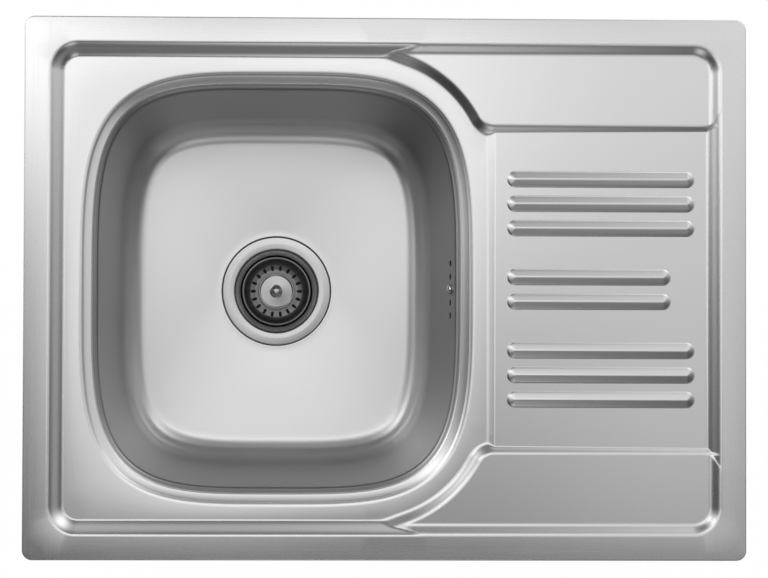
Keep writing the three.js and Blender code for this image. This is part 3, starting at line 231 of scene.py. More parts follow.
def block(size: tuple[float, float, float], height: float) -> bmesh.types.BMesh:
    """Solid box round the Z axis, with its middle at a height."""
    bm = bmesh.new()
    bmesh.ops.create_cube(bm, size=1.0, matrix=placed(0, 0, height) @ Matrix.Diagonal((*size, 1)))
    return bm


def hose_coupling() -> bmesh.types.BMesh:
    """Shoulder and nipple along +Z that a hose end is drawn over."""
    profile = [
        (6.5, -9, 0.2), (12.9, -9, 0.2), (12.9, 10, 0.8),
        (9, 10, 0.6), (9, 25, 0.8), (6.5, 25, 0.3),
    ]
    return turned(rounded_profile(profile, 4), 48)


def draped(rings: list[np.ndarray]) -> bmesh.types.BMesh:
    """Lays a grid of quads over rings of points, from the last ring back to the first.

    Args:
        rings: Arrays of x, y, z rows, all with the same number of points, closed on themselves.

    Returns:
        The closed mesh, with its seams merged.
    """
    count, tall = len(rings[0]), len(rings)
    bm = bmesh.new()
    bmesh.ops.create_grid(bm, x_segments=count, y_segments=tall, size=0.5)
    for vert in bm.verts:
        i = round((vert.co.x + 0.5) * count) % count
        j = round((vert.co.y + 0.5) * tall) % tall
        vert.co = rings[j][i]
    bmesh.ops.remove_doubles(bm, verts=bm.verts[:], dist=WELD)
    bmesh.ops.recalc_face_normals(bm, faces=bm.faces[:])
    return bm


def soften(bm: bmesh.types.BMesh, width: float, angle: float = 35.0, segments: int = 2) -> None:
    """Bevels every edge that is sharper than an angle.

    Args:
        bm: The mesh to change.
        width: Width of the bevel.
        angle: Least angle between two faces, in degrees.
        segments: Segments of the bevel.
    """
    sharp = [e for e in bm.edges if e.is_manifold and e.calc_face_angle(0) > math.radians(angle)]
    bmesh.ops.bevel(
        bm,
        geom=sharp,
        offset=width,
        offset_type="OFFSET",
        segments=segments,
        profile=0.5,
        affect="EDGES",
        clamp_overlap=True,
        material=-1,
    )


def moved(bm: bmesh.types.BMesh, matrix: Matrix) -> bmesh.types.BMesh:
    """Applies a matrix to a mesh and returns it."""
    bmesh.ops.transform(bm, matrix=matrix, verts=bm.verts[:])
    return bm


def joined(*parts: bmesh.types.BMesh) -> bmesh.types.BMesh:
    """Copies several meshes into one, without welding them."""
    whole = bmesh.new()
    for part in parts:
        mesh = bpy.data.meshes.new("part")
        part.to_mesh(mesh)
        whole.from_mesh(mesh)
        bpy.data.meshes.remove(mesh)
        part.free()
    return whole


def carved(base: bmesh.types.BMesh, cutter: bmesh.types.BMesh) -> bmesh.types.BMesh:
    """Cuts one closed mesh by another.

    Args:
        base: The solid to change, which is freed.
        cutter: The solid to take away, which is freed.

    Returns:
        The result as a new mesh.
    """
    objects = []
    for name, bm in (("base", base), ("cutter", cutter)):
        mesh = bpy.data.meshes.new(name)
        bm.to_mesh(mesh)
        bm.free()
        objects.append(bpy.data.objects.new(name, mesh))
        bpy.context.scene.collection.objects.link(objects[-1])
    modifier = objects[0].modifiers.new("cut", "BOOLEAN")
    modifier.operation = "DIFFERENCE"
    modifier.solver = "MANIFOLD"
    modifier.object = objects[1]
    graph = bpy.context.evaluated_depsgraph_get()
    result = bmesh.new()
    result.from_object(objects[0], graph)
    for thing in objects:
        mesh = thing.data
        bpy.data.objects.remove(thing)
        bpy.data.meshes.remove(mesh)
    return result


def placed(x: float = 0.0, y: float = 0.0, z: float = 0.0) -> Matrix:
    """Matrix of a shift in millimetres."""
    return Matrix.Translation((x, y, z))


def spun(angle: float, axis: str = "Z") -> Matrix:
    """Matrix of a turn about an axis, in degrees."""
    return Matrix.Rotation(math.radians(angle), 4, axis)


# ---- shader tools ----------------------------------------------------------------------------


class Sheet:
    """A node tree that is filled one node at a time."""

    def __init__(self, tree: bpy.types.NodeTree) -> None:
        """Keeps the tree and clears it."""
        self.tree = tree
        tree.nodes.clear()

    def add(self, kind: str, settings: dict | None = None, **inputs: object) -> bpy.types.Node:
        """Adds one node.

        Args:
            kind: Node type without the word Shader in front.
            settings: Properties of the node itself.
            **inputs: Socket values or linked sockets, with _ for a space in the name. A name
                such as i0 gives the socket by number.

        Returns:
            The new node.
        """
        node = self.tree.nodes.new(kind if kind.startswith("Node") else f"ShaderNode{kind}")
        for name, value in (settings or {}).items():
            setattr(node, name, value)
        for name, value in inputs.items():
            by_number = name[0] == "i" and name[1:].isdigit()
            key = int(name[1:]) if by_number else name.replace("_", " ")
            socket = node.inputs[key]
            if isinstance(value, bpy.types.NodeSocket):
                self.tree.links.new(value, socket)
            else:
                socket.default_value = value
        return node

    def math(
        self, operation: str, a: object, b: object = 0.0, clamp: bool = False
    ) -> bpy.types.NodeSocket:
        """Adds a Math node and returns its result."""
        node = self.add("Math", {"operation": operation, "use_clamp": clamp}, i0=a, i1=b)
        return node.outputs[0]

    def mix(self, part: object, a: object, b: object) -> bpy.types.NodeSocket:
        """Adds a colour Mix node and returns its result."""
        node = self.add("Mix", {"data_type": "RGBA"}, i0=part, i6=a, i7=b)
        return node.outputs[2]


def new_group(name: str, inputs: dict[str, tuple[str, object]], outputs: dict[str, str]) -> tuple:
    """Starts a shader node group.

    Args:
        name: Name of the group.
        inputs: Socket kinds and default values by name.
        outputs: Socket kinds by name.

    Returns:
        The group, its sheet, and its input and output nodes.
    """
    group = bpy.data.node_groups.new(name, "ShaderNodeTree")
    for label, (kind, value) in inputs.items():
        socket = group.interface.new_socket(label, in_out="INPUT", socket_type=f"NodeSocket{kind}")
        if value is not None:
            socket.default_value = value
    for label, kind in outputs.items():
        group.interface.new_socket(label, in_out="OUTPUT", socket_type=f"NodeSocket{kind}")
    sheet = Sheet(group)
    return group, sheet, sheet.add("NodeGroupInput"), sheet.add("NodeGroupOutput")


def brushed_group() -> bpy.types.NodeTree:
    """Builds the grain of brushed steel: fine streaks along X of its vector, and soft blotches."""
    group, sheet, given, out = new_group(
        "brushed grain",
        {
            "Vector": ("Vector", None),
            "Place": ("Vector", None),
            "Colour": ("Color", (0.8, 0.8, 0.8, 1)),
            "Roughness": ("Float", 0.3),
            "Streak": ("Float", 0.1),
            "Blotch": ("Float", 0.05),
        },
        {"Colour": "Color", "Roughness": "Float", "Height": "Float"},
    )
    fine = sheet.add("TexNoise", Vector=given.outputs["Vector"], Scale=1.0, Detail=3.0)
    broad = sheet.add("TexNoise", Vector=given.outputs["Vector"], Scale=0.13, Detail=2.0)
    cloud = sheet.add("TexNoise", Vector=given.outputs["Place"], Scale=9.0, Detail=2.0)
    streak = sheet.math(
        "SUBTRACT",
        sheet.math("ADD", sheet.math("MULTIPLY", fine.outputs[0], 0.6),
                   sheet.math("MULTIPLY", broad.outputs[0], 0.4)),
        0.5,
    )
    shade = sheet.math("MULTIPLY", streak, given.outputs["Streak"])
    haze = sheet.math(
        "MULTIPLY", sheet.math("SUBTRACT", cloud.outputs[0], 0.5), given.outputs["Blotch"]
    )
    gain = sheet.math("ADD", sheet.math("ADD", shade, haze), 1.0)
    grey = sheet.add("CombineColor", i0=gain, i1=gain, i2=gain)
    tint = sheet.add(
        "Mix", {"data_type": "RGBA", "blend_type": "MULTIPLY"}, i0=1.0,
        i6=given.outputs["Colour"], i7=grey.outputs[0],
    )
    rough = sheet.math(
        "ADD", given.outputs["Roughness"], sheet.math("ADD", shade, haze)
    )
    sheet.tree.links.new(tint.outputs[2], out.inputs["Colour"])
    sheet.tree.links.new(rough, out.inputs["Roughness"])
    sheet.tree.links.new(fine.outputs[0], out.inputs["Height"])
    return group


def grain_group() -> bpy.types.NodeTree:
    """Builds the skin of moulded and rubber pieces: fine pits, soft tone change and dust."""
    group, sheet, given, out = new_group(
        "moulded skin",
        {
            "Place": ("Vector", None),
            "Colour": ("Color", (0.8, 0.8, 0.8, 1)),
            "Dust": ("Color", (0.6, 0.58, 0.55, 1)),
            "Roughness": ("Float", 0.5),
            "Pits": ("Float", 900.0),
            "Wear": ("Float", 0.1),
        },
        {"Colour": "Color", "Roughness": "Float", "Height": "Float"},
    )
    pits = sheet.add(
        "TexNoise", Vector=given.outputs["Place"], Scale=given.outputs["Pits"], Detail=2.0
    )
    cloud = sheet.add("TexNoise", Vector=given.outputs["Place"], Scale=28.0, Detail=4.0)
    spread = sheet.add("MapRange", Value=cloud.outputs[0], From_Min=0.42, From_Max=0.75)
    amount = sheet.math("MULTIPLY", spread.outputs[0], given.outputs["Wear"], clamp=True)
    colour = sheet.mix(amount, given.outputs["Colour"], given.outputs["Dust"])
    rough = sheet.math("ADD", given.outputs["Roughness"], sheet.math("MULTIPLY", amount, 0.4))
    sheet.tree.links.new(colour, out.inputs["Colour"])
    sheet.tree.links.new(rough, out.inputs["Roughness"])
    sheet.tree.links.new(pits.outputs[0], out.inputs["Height"])
    return group


class Brush(Enum):
    """How a steel surface has been brushed."""

    DECK = "deck"
    DRAWN = "drawn"
    ROUND = "round"
    NONE = "none"


@dataclass(frozen=True)
class Steel:
    """A bare metal finish.

    The four places in metres say where its look changes: side_from and end_from are the inner
    edges of the rim along X and Y, and the two wall heights bound the band over which the bowl's
    walls take painted shade, a colour darker than its floor's by the wall shade factor, which
    stands in for the dark reflections on the walls.
    """

    name: str
    colour: tuple[float, float, float]
    roughness: float
    streak: float
    blotch: float
    brush: Brush
    relief: float = 0.002
    rim_streak: float = 0.0
    side_from: float = 0.2865
    end_from: float = 0.2165
    painted_wall_shade: float = 1.0
    wall_shade_from: float = -0.146
    wall_shade_to: float = -0.105

    def material(self, grain: bpy.types.NodeTree) -> bpy.types.Material:
        """Builds the node material.

        Args:
            grain: The brushed grain group.

        Returns:
            The new material.
        """
        made = bpy.data.materials.new(self.name)
        made.use_nodes = True
        sheet = Sheet(made.node_tree)
        place = sheet.add("TexCoord").outputs["Object"]
        vector = self._vector(sheet, place)
        node = sheet.add("Group", {"node_tree": grain})
        sheet.tree.links.new(vector, node.inputs["Vector"])
        sheet.tree.links.new(place, node.inputs["Place"])
        node.inputs["Colour"].default_value = (*self.colour, 1)
        # painted shade: darkens the colour of the bowl's walls above the fillet, standing in for
        # their dark reflections
        if self.painted_wall_shade != 1.0:
            sheet.tree.links.new(self._wall_shade_colour(sheet, place), node.inputs["Colour"])
        node.inputs["Roughness"].default_value = self.roughness
        node.inputs["Streak"].default_value = self.streak
        if self.rim_streak:
            more = sheet.math("MULTIPLY", self._at_rim(sheet, place), self.rim_streak - self.streak)
            sheet.tree.links.new(sheet.math("ADD", more, self.streak), node.inputs["Streak"])
        node.inputs["Blotch"].default_value = self.blotch
        height = node.outputs["Height"]
        bump = sheet.add("Bump", Height=height, Strength=self.relief, Distance=MM)
        shader = sheet.add("BsdfPrincipled", Base_Color=node.outputs["Colour"],
                           Roughness=node.outputs["Roughness"], Metallic=1.0,
                           Normal=bump.outputs[0])
        out = sheet.add("OutputMaterial")
        sheet.tree.links.new(shader.outputs[0], out.inputs[0])
        return made

    def _wall_shade_colour(self, sheet: Sheet, place: bpy.types.NodeSocket) -> bpy.types.NodeSocket:
        """Colour with painted shade: darker on the drawn walls than on the floor below them, for
        their dark reflections.
        """
        height = sheet.add("SeparateXYZ", Vector=place).outputs[2]
        raised = sheet.add(
            "MapRange", {"interpolation_type": "SMOOTHSTEP"}, Value=height,
            From_Min=self.wall_shade_from, From_Max=self.wall_shade_to,
        )
        painted_shade_colour = (*(part * self.painted_wall_shade for part in self.colour), 1)
        return sheet.mix(raised.outputs[0], (*self.colour, 1), painted_shade_colour)

    def _at_sides(self, sheet: Sheet, place: bpy.types.NodeSocket) -> bpy.types.NodeSocket:
        """One on the strips at the left and right rim, which are brushed along Y."""
        x = sheet.add("SeparateXYZ", Vector=place).outputs[0]
        return sheet.math("GREATER_THAN", sheet.math("ABSOLUTE", x), self.side_from)

    def _at_rim(self, sheet: Sheet, place: bpy.types.NodeSocket) -> bpy.types.NodeSocket:
        """One on the whole flat rim, which has the strongest brushing."""
        y = sheet.add("SeparateXYZ", Vector=place).outputs[1]
        ends = sheet.math("GREATER_THAN", sheet.math("ABSOLUTE", y), self.end_from)
        return sheet.math("MAXIMUM", self._at_sides(sheet, place), ends)

    def _vector(self, sheet: Sheet, place: bpy.types.NodeSocket) -> bpy.types.NodeSocket:
        """Stretches the place so that the grain's streaks follow the brushing.

        Args:
            sheet: The material's nodes.
            place: The object coordinates.

        Returns:
            The vector of the grain.
        """
        if self.brush is Brush.NONE:
            return sheet.add("Mapping", Vector=place, Scale=(500, 500, 500)).outputs[0]
        if self.brush is Brush.DECK:
            along = sheet.add("Mapping", Vector=place, Scale=(14, 1500, 1500)).outputs[0]
            across = sheet.add("Mapping", Vector=place, Scale=(1500, 14, 1500)).outputs[0]
            sides = self._at_sides(sheet, place)
            node = sheet.add("Mix", {"data_type": "VECTOR"}, i0=sides, i4=along, i5=across)
            return node.outputs[1]
        if self.brush is Brush.DRAWN:
            return sheet.add("Mapping", Vector=place, Scale=(24, 24, 700)).outputs[0]
        centred = sheet.add("Mapping", Vector=place, Location=(-BOWL_X * MM, 0, 0))
        spot = sheet.add("SeparateXYZ", Vector=centred.outputs[0])
        radius = sheet.math(
            "SQRT",
            sheet.math("ADD", sheet.math("MULTIPLY", spot.outputs[0], spot.outputs[0]),
                       sheet.math("MULTIPLY", spot.outputs[1], spot.outputs[1])),
        )
        rings = sheet.math("MULTIPLY", radius, 2600.0)
        turn = sheet.math("ARCTAN2", spot.outputs[1], spot.outputs[0])
        tall = sheet.math("MULTIPLY", spot.outputs[2], 1500.0)
        return sheet.add("CombineXYZ", X=rings, Y=turn, Z=tall).outputs[0]


@dataclass(frozen=True)
class Moulded:
    """A plastic, rubber or foam finish."""

    name: str
    colour: tuple[float, float, float]
    dust: tuple[float, float, float]
    roughness: float
    pits: float
    wear: float
    relief: float
    specular: float = 0.5

    def material(self, skin: bpy.types.NodeTree) -> bpy.types.Material:
        """Builds the node material.

        Args:
            skin: The moulded skin group.

        Returns:
            The new material.
        """
        made = bpy.data.materials.new(self.name)
        made.use_nodes = True
        sheet = Sheet(made.node_tree)
        place = sheet.add("TexCoord").outputs["Object"]
        node = sheet.add("Group", {"node_tree": skin})
        sheet.tree.links.new(place, node.inputs["Place"])
        node.inputs["Colour"].default_value = (*self.colour, 1)
        node.inputs["Dust"].default_value = (*self.dust, 1)
        node.inputs["Roughness"].default_value = self.roughness
        node.inputs["Pits"].default_value = self.pits
        node.inputs["Wear"].default_value = self.wear
        height = node.outputs["Height"]
        bump = sheet.add("Bump", Height=height, Strength=self.relief, Distance=MM)
        shader = sheet.add("BsdfPrincipled", Base_Color=node.outputs["Colour"],
                           Roughness=node.outputs["Roughness"], Normal=bump.outputs[0])
        shader.inputs["Specular IOR Level"].default_value = self.specular
        out = sheet.add("OutputMaterial")
        sheet.tree.links.new(shader.outputs[0], out.inputs[0])
        return made


class Finishes:
    """All materials of the sink, built once each."""

    def __init__(self) -> None:
        """Builds the two node groups and the materials."""
        grain, skin = brushed_group(), grain_group()
        metals = [
            Steel(
                "deck satin steel", (0.755, 0.755, 0.76), 0.27, 0.008, 0.01, Brush.DECK, 0.0002,
                rim_streak=0.12,
            ),
            Steel(
                "bowl satin steel", (0.84, 0.84, 0.845), 0.36, 0.06, 0.02, Brush.DRAWN, 0.001,
                # painted shade: the bowl's walls get 0.45 of the floor's colour, standing in for
                # their dark reflections
                painted_wall_shade=0.45,
            ),
            Steel("waste bright steel", (0.60, 0.60, 0.60), 0.26, 0.08, 0.03, Brush.ROUND),
            Steel("basket steel", (0.27, 0.27, 0.275), 0.38, 0.08, 0.10, Brush.ROUND),
            Steel("knob spun steel", (0.46, 0.46, 0.465), 0.24, 0.10, 0.04, Brush.ROUND),
            Steel("screw steel", (0.74, 0.74, 0.75), 0.18, 0.06, 0.06, Brush.NONE),
            Steel("zinc plate", (0.60, 0.62, 0.65), 0.36, 0.22, 0.22, Brush.NONE, 0.02),
            Steel("insert brass", (0.76, 0.60, 0.30), 0.30, 0.12, 0.10, Brush.NONE),
        ]
        soft = [
            Moulded(
                "black rubber", (0.022, 0.022, 0.024), (0.09, 0.09, 0.09), 0.62, 1400, 0.25, 0.15
            ),
            Moulded(
                "seal foam", (0.045, 0.045, 0.048), (0.13, 0.13, 0.13), 0.9, 2200, 0.4, 0.8, 0.2
            ),
            Moulded(
                "pad bitumen", (0.075, 0.076, 0.08), (0.17, 0.17, 0.17), 0.85, 800, 0.5, 0.7, 0.3
            ),
            Moulded(
                "white plastic", (0.80, 0.80, 0.775), (0.70, 0.69, 0.66), 0.38, 1200, 0.15, 0.05
            ),
            Moulded("hose plastic", (0.82, 0.82, 0.79), (0.70, 0.69, 0.65), 0.32, 900, 0.2, 0.04),
        ]
        self.by_name = {finish.name: finish.material(grain) for finish in metals}
        self.by_name.update({finish.name: finish.material(skin) for finish in soft})

    def __getitem__(self, name: str) -> bpy.types.Material:
        """Returns a material by its name."""
        return self.by_name[name]


@dataclass
class Workshop:
    """Turns meshes into finished pieces of the frame."""

    finishes: Finishes
    made: list[str] = field(default_factory=list)

    def piece(
        self,
        name: str,
        bm: bmesh.types.BMesh,
        finish: str,
        body: str = SINK_BODY,
        replaces: tuple[str, ...] = (),
        angle: float = 32.0,
        matrix: Matrix | None = None,
    ) -> bpy.types.Object:
        """Makes an object of a mesh in millimetres.

        Args:
            name: Name of the piece.
            bm: Its mesh, which is freed.
            finish: Name of its material.
            body: The body that it rides on.
            replaces: The CAD nodes that it stands for.
            angle: Edges sharper than this stay sharp, in degrees.
            matrix: Where the mesh goes, in millimetres.

        Returns:
            The finished object.
        """
        whole = Matrix.Scale(MM, 4) @ (matrix or Matrix.Identity(4))
        bmesh.ops.transform(bm, matrix=whole, verts=bm.verts[:])
        mesh = bpy.data.meshes.new(name)
        bm.to_mesh(mesh)
        bm.free()
        mesh.shade_smooth()
        mesh.set_sharp_from_angle(angle=math.radians(angle))
        mesh.materials.append(self.finishes[finish])
        thing = bpy.data.objects.new(name, mesh)
        bpy.context.scene.collection.objects.link(thing)
        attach(thing, body)
        if replaces:
            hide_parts(*replaces)
        self.made.append(name)
        LOG.info("%s: %d faces, rides on %s", name, len(mesh.polygons), body)
        return thing

    def dress(self, node: str, finish: str) -> None:
        """Gives a CAD node that stays in view a better material."""
        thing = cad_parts[node]
        thing.data.materials.clear()
        thing.data.materials.append(self.finishes[finish])
        self.made.append(node)
        LOG.info("%s: CAD node in %s", node, finish)


# ---- the bowl's outline ----------------------------------------------------------------------


@dataclass(frozen=True)
class BowlOutline:
    """The bulged rectangle of the bowl's ledge, and lines parallel to it."""

    half_length: float = 173.5
    half_width: float = 191.5
    squareness: float = 3.8

    def points(self, count: int = 400) -> np.ndarray:
        """Spreads points evenly along the ledge's outer line.

        Args:
            count: Number of points.

        Returns:
            Rows of x, y and the direction that points inwards.
        """
        angle = np.linspace(0, 2 * np.pi, 7200, endpoint=False) + 1e-6
        c, s = np.cos(angle), np.sin(angle)
        u, v = self.half_length * np.abs(c), self.half_width * np.abs(s)
        n = self.squareness
        size = (u ** (n / (n - 1)) + v ** (n / (n - 1))) ** (1 / n)
        x = np.sign(c) * self.half_length * u ** (1 / (n - 1)) / size
        y = np.sign(s) * self.half_width * v ** (1 / (n - 1)) / size
        step = np.hypot(np.diff(x, append=x[0]), np.diff(y, append=y[0]))
        run = np.concatenate([[0], np.cumsum(step)])
        wanted = np.arange(count) * run[-1] / count
        turn = np.interp(wanted, run, np.append(angle, angle[0] + 2 * np.pi))
        px = np.interp(wanted, run, np.append(x, x[0]))
        py = np.interp(wanted, run, np.append(y, y[0]))
        return np.stack([px + BOWL_X, py, -np.cos(turn), -np.sin(turn)], 1)

    def inset(self, x: np.ndarray, y: np.ndarray) -> np.ndarray:
        """Distance inside the ledge's outer line, which is exact close to that line.

        Args:
            x: Places along X.
            y: Places along Y.

        Returns:
            Distances, positive inside.
        """
        a, b, n = self.half_length, self.half_width, self.squareness
        dx, dy = x - BOWL_X, y
        gx = np.sign(dx) * (np.abs(dx) / a) ** (n - 1) / a
        gy = np.sign(dy) * (np.abs(dy) / b) ** (n - 1) / b
        size = np.maximum(np.hypot(gx, gy), 1e-9)
        c, s = gx / size, gy / size
        m = n / (n - 1)
        support = ((a * np.abs(c)) ** m + (b * np.abs(s)) ** m) ** (1 / m)
        return support - dx * c - dy * s


# ---- the pressed deck ------------------------------------------------------------------------


@dataclass
class Deck:
    """The pressed deck: flange, steps, platforms, drainer field with its ribs, and ledge."""

    length: float = RIM_LENGTH
    width: float = RIM_WIDTH
    corner: float = RIM_CORNER
    flat: float = 22.4
    top: float = 3.5
    sheet: float = STEEL_SHEET
    edge_radius: float = 1.3
    edge_foot: float = 0.3
    rim_fall: float = 0.035
    step_corner: float = 25.0
    step_bend: float = 0.3
    surround: float = SURROUND_Z
    surround_run: float = 11.5
    platform: float = -0.5
    platform_run: float = 9.2
    shoulder_run: float = 9.7
    arc_radius: float = 116.0
    arc_x: float = -18.3
    arc_y: float = 98.6
    fillet: float = 15.0
    tip_y: float = 207.5
    field_half: float = 146.0
    field_left: float = 91.5
    field_edge: float = 6.2
    field_drop_left: float = 2.9
    field_drop_right: float = 2.0
    field_end_run: float = 10.6
    ledge_width: float = LEDGE_WIDTH
    ledge_fold: tuple[tuple[float, float], ...] = (
        (-4.0, 0.0), (-1.4, 14.0), (-0.3, 20.0), (0.2, 50.0), (0.9, 50.0), (1.5, 22.0), (4.0, 19.0),
        (7.3, 15.0), (7.7, 30.0), (8.1, 50.0), (8.7, 50.0),
    )
    rib_half: float = 7.1
    rib_height: float = 2.2
    rib_flank: float = 0.24
    rib_crown: float = 1.2
    rib_pitch: float = 21.8
    rib_start: float = 108.6
    rib_long_end: float = 275.6
    rib_short_end: float = 254.4
    rib_rows: tuple[float, ...] = (-4.5, -3.5, -2.5, -0.5, 0.5, 2.5, 3.5, 4.5)
    merge_within: float = 0.02
    sliver: float = 0.01
    settle_rounds: int = 40
    bowl: BowlOutline = field(default_factory=BowlOutline)

    def __post_init__(self) -> None:
        """Works out the places that follow from the sizes."""
        self.right = self.length / 2 - self.flat
        self.fillet_y = self.field_half + self.fillet
        reach = self.arc_radius + self.fillet
        self.fillet_x = self.arc_x + math.sqrt(reach**2 - (self.fillet_y - self.arc_y) ** 2)
        self.join = math.atan2(self.fillet_y - self.arc_y, self.fillet_x - self.arc_x)
        self.tip = math.asin((self.tip_y - self.arc_y) / self.arc_radius)

    def rectangle_inset(
        self, x: np.ndarray, y: np.ndarray, inset: float, radius: float
    ) -> np.ndarray:
        """Distance inside a rounded rectangle that is inset from the rim.

        Args:
            x: Places along X.
            y: Places along Y.
            inset: From the rim's edge to the rectangle.
            radius: The rectangle's corner radius.

        Returns:
            Distances, positive inside.
        """
        across = np.abs(x) - (self.length / 2 - inset - radius)
        along = np.abs(y) - (self.width / 2 - inset - radius)
        outside = np.hypot(np.maximum(across, 0), np.maximum(along, 0))
        return radius - outside - np.minimum(np.maximum(across, along), 0)

    def shoulder_inset(self, x: np.ndarray, y: np.ndarray) -> np.ndarray:
        """Distance from the platforms' edge into the surround.

        Args:
            x: Places along X.
            y: Places along Y.

        Returns:
            Distances, negative on the platforms.
        """
        y = np.abs(y)
        from_arc = np.hypot(x - self.arc_x, y - self.arc_y)
        angle = np.arctan2(y - self.arc_y, x - self.arc_x)
        tangent = (
            self.arc_radius
            - (x - self.arc_x) * math.cos(self.tip)
            - (y - self.arc_y) * math.sin(self.tip)
        )
        rounded = np.hypot(x - self.fillet_x, y - self.fillet_y) - self.fillet
        found = np.where(angle > self.tip, tangent, self.arc_radius - from_arc)
        found = np.where(angle < self.join, rounded, found)
        straight = np.maximum(self.field_half - y, -40)
        return np.where((x > self.fillet_x) | (y < 100.0), straight, found)

    def field_height(self, x: np.ndarray) -> np.ndarray:
        """Height of the drainer field, which falls towards the bowl."""
        part = (x - self.field_left) / (self.right - self.field_left)
        drop = self.field_drop_left + part * (self.field_drop_right - self.field_drop_left)
        return self.platform - drop

    def rib_distance(self, x: np.ndarray, y: np.ndarray, row: float) -> np.ndarray:
        """Distance from the middle line of one rib."""
        end = self.rib_short_end if abs(row) < 1 else self.rib_long_end
        low, high = self.rib_start + self.rib_half, end - self.rib_half
        return np.hypot(x - np.clip(x, low, high), y - row * self.rib_pitch)

    def height(self, x: np.ndarray, y: np.ndarray) -> np.ndarray:
        """Height of the deck's upper face.

        Args:
            x: Places along X.
            y: Places along Y.

        Returns:
            Heights over the worktop.
        """
        inset = self.rectangle_inset(x, y, self.flat, self.step_corner)
        from_rim = self.rectangle_inset(x, y, 0, self.corner)
        flange = self.top - self.rim_fall * np.maximum(self.flat - from_rim, 0)
        drop = (self.top - self.platform) * self.step_share(inset / self.platform_run)
        platform = smooth_max(self.top - drop, np.full_like(x, self.platform), 0.45)
        steep = self.top - (self.top - self.surround) * self.step_share(inset / self.surround_run)
        end_drop = self.top - self.platform + self.field_drop_right
        gentle = self.top - end_drop * self.step_share(inset / self.field_end_run)
        wall = np.where(x > 150, gentle, steep)
        share = self.step_share(self.shoulder_inset(x, y) / self.shoulder_run)
        shoulder = self.platform - (self.platform - self.surround) * share
        basin = smooth_max(wall, shoulder, 0.7)
        plane = self.field_height(x)
        lift = (self.field_height(np.array(self.field_left)) - self.surround) / self.field_edge
        edge = self.surround + (x - self.field_left) * lift
        basin = smooth_max(basin, smooth_min(plane, edge, 0.22), 0.5)
        basin = smooth_max(basin, np.full_like(x, self.surround), 0.5)
        found = smooth_min(platform, basin, 0.45)
        found = smooth_min(found, flange, 0.6)
        found = found - self.ledge_fall(self.bowl.inset(x, y))
        for row in self.rib_rows:
            away = self.rib_distance(x, y, row)
            foot = smooth_min((self.rib_half - away) * 0.9, np.full_like(x, 0.55), 0.5)
            flank = np.maximum(self.rib_half - 0.5 - away, 0) * self.rib_flank
            crown = (self.rib_height - 0.55) - self.rib_flank * 0.5 * self.rib_crown
            rise = foot + smooth_min(flank, crown + 0 * x, self.rib_crown * self.rib_flank)
            found = np.where(away < 9, smooth_max(found, plane + rise, 0.3), found)
        return found

    def step_share(self, part: np.ndarray) -> np.ndarray:
        """Share of a step's drop at a part of its run, with soft bends and a steeper wall."""
        inside = np.clip(part, 0, 1)
        turn = 2 * math.pi
        wave = self.step_bend * np.sin(turn * inside) / turn
        return inside - wave + (part - inside) * (1 - self.step_bend)

    def ledge_fall(self, inset: np.ndarray) -> np.ndarray:
        """Fall from the surround down the folds round the bowl, by the distance past its line."""
        at = np.linspace(self.ledge_fold[0][0], self.ledge_fold[-1][0], 255)
        angle = np.interp(at, [a for a, _ in self.ledge_fold], [b for _, b in self.ledge_fold])
        slope = np.tan(np.radians(angle))
        fall = np.concatenate([[0.0], np.cumsum((slope[1:] + slope[:-1]) / 2 * np.diff(at))])
        return np.interp(inset, at, fall) + np.maximum(inset - at[-1], 0) * slope[-1]

    def normals(self, x: np.ndarray, y: np.ndarray) -> np.ndarray:
        """Upward directions square to the deck's upper face."""
        d = 0.05
        dx = (self.height(x + d, y) - self.height(x - d, y)) / (2 * d)
        dy = (self.height(x, y + d) - self.height(x, y - d)) / (2 * d)
        found = np.stack([-dx, -dy, np.ones_like(dx)], 1)
        return found / np.linalg.norm(found, axis=1, keepdims=True)

    def shoulder_line(self) -> np.ndarray:
        """Rows of x, y and the direction into the surround, along the upper platform's edge."""
        straight = np.linspace(self.right + 1, self.fillet_x, 24)
        rows = [(x, self.field_half, 0.0, -1.0) for x in straight]
        for angle in np.linspace(-math.pi / 2, self.join - math.pi, 14)[1:]:
            c, s = math.cos(angle), math.sin(angle)
            rows.append((self.fillet_x + self.fillet * c, self.fillet_y + self.fillet * s, c, s))
        for angle in np.linspace(self.join, self.tip, 60)[1:]:
            c, s = math.cos(angle), math.sin(angle)
            x, y = self.arc_x + self.arc_radius * c, self.arc_y + self.arc_radius * s
            rows.append((x, y, -c, -s))
        x, y, nx, ny = rows[-1]
        for run in np.linspace(2, 40, 20):
            rows.append((x + run * ny, y - run * nx, nx, ny))
        return np.array(rows)

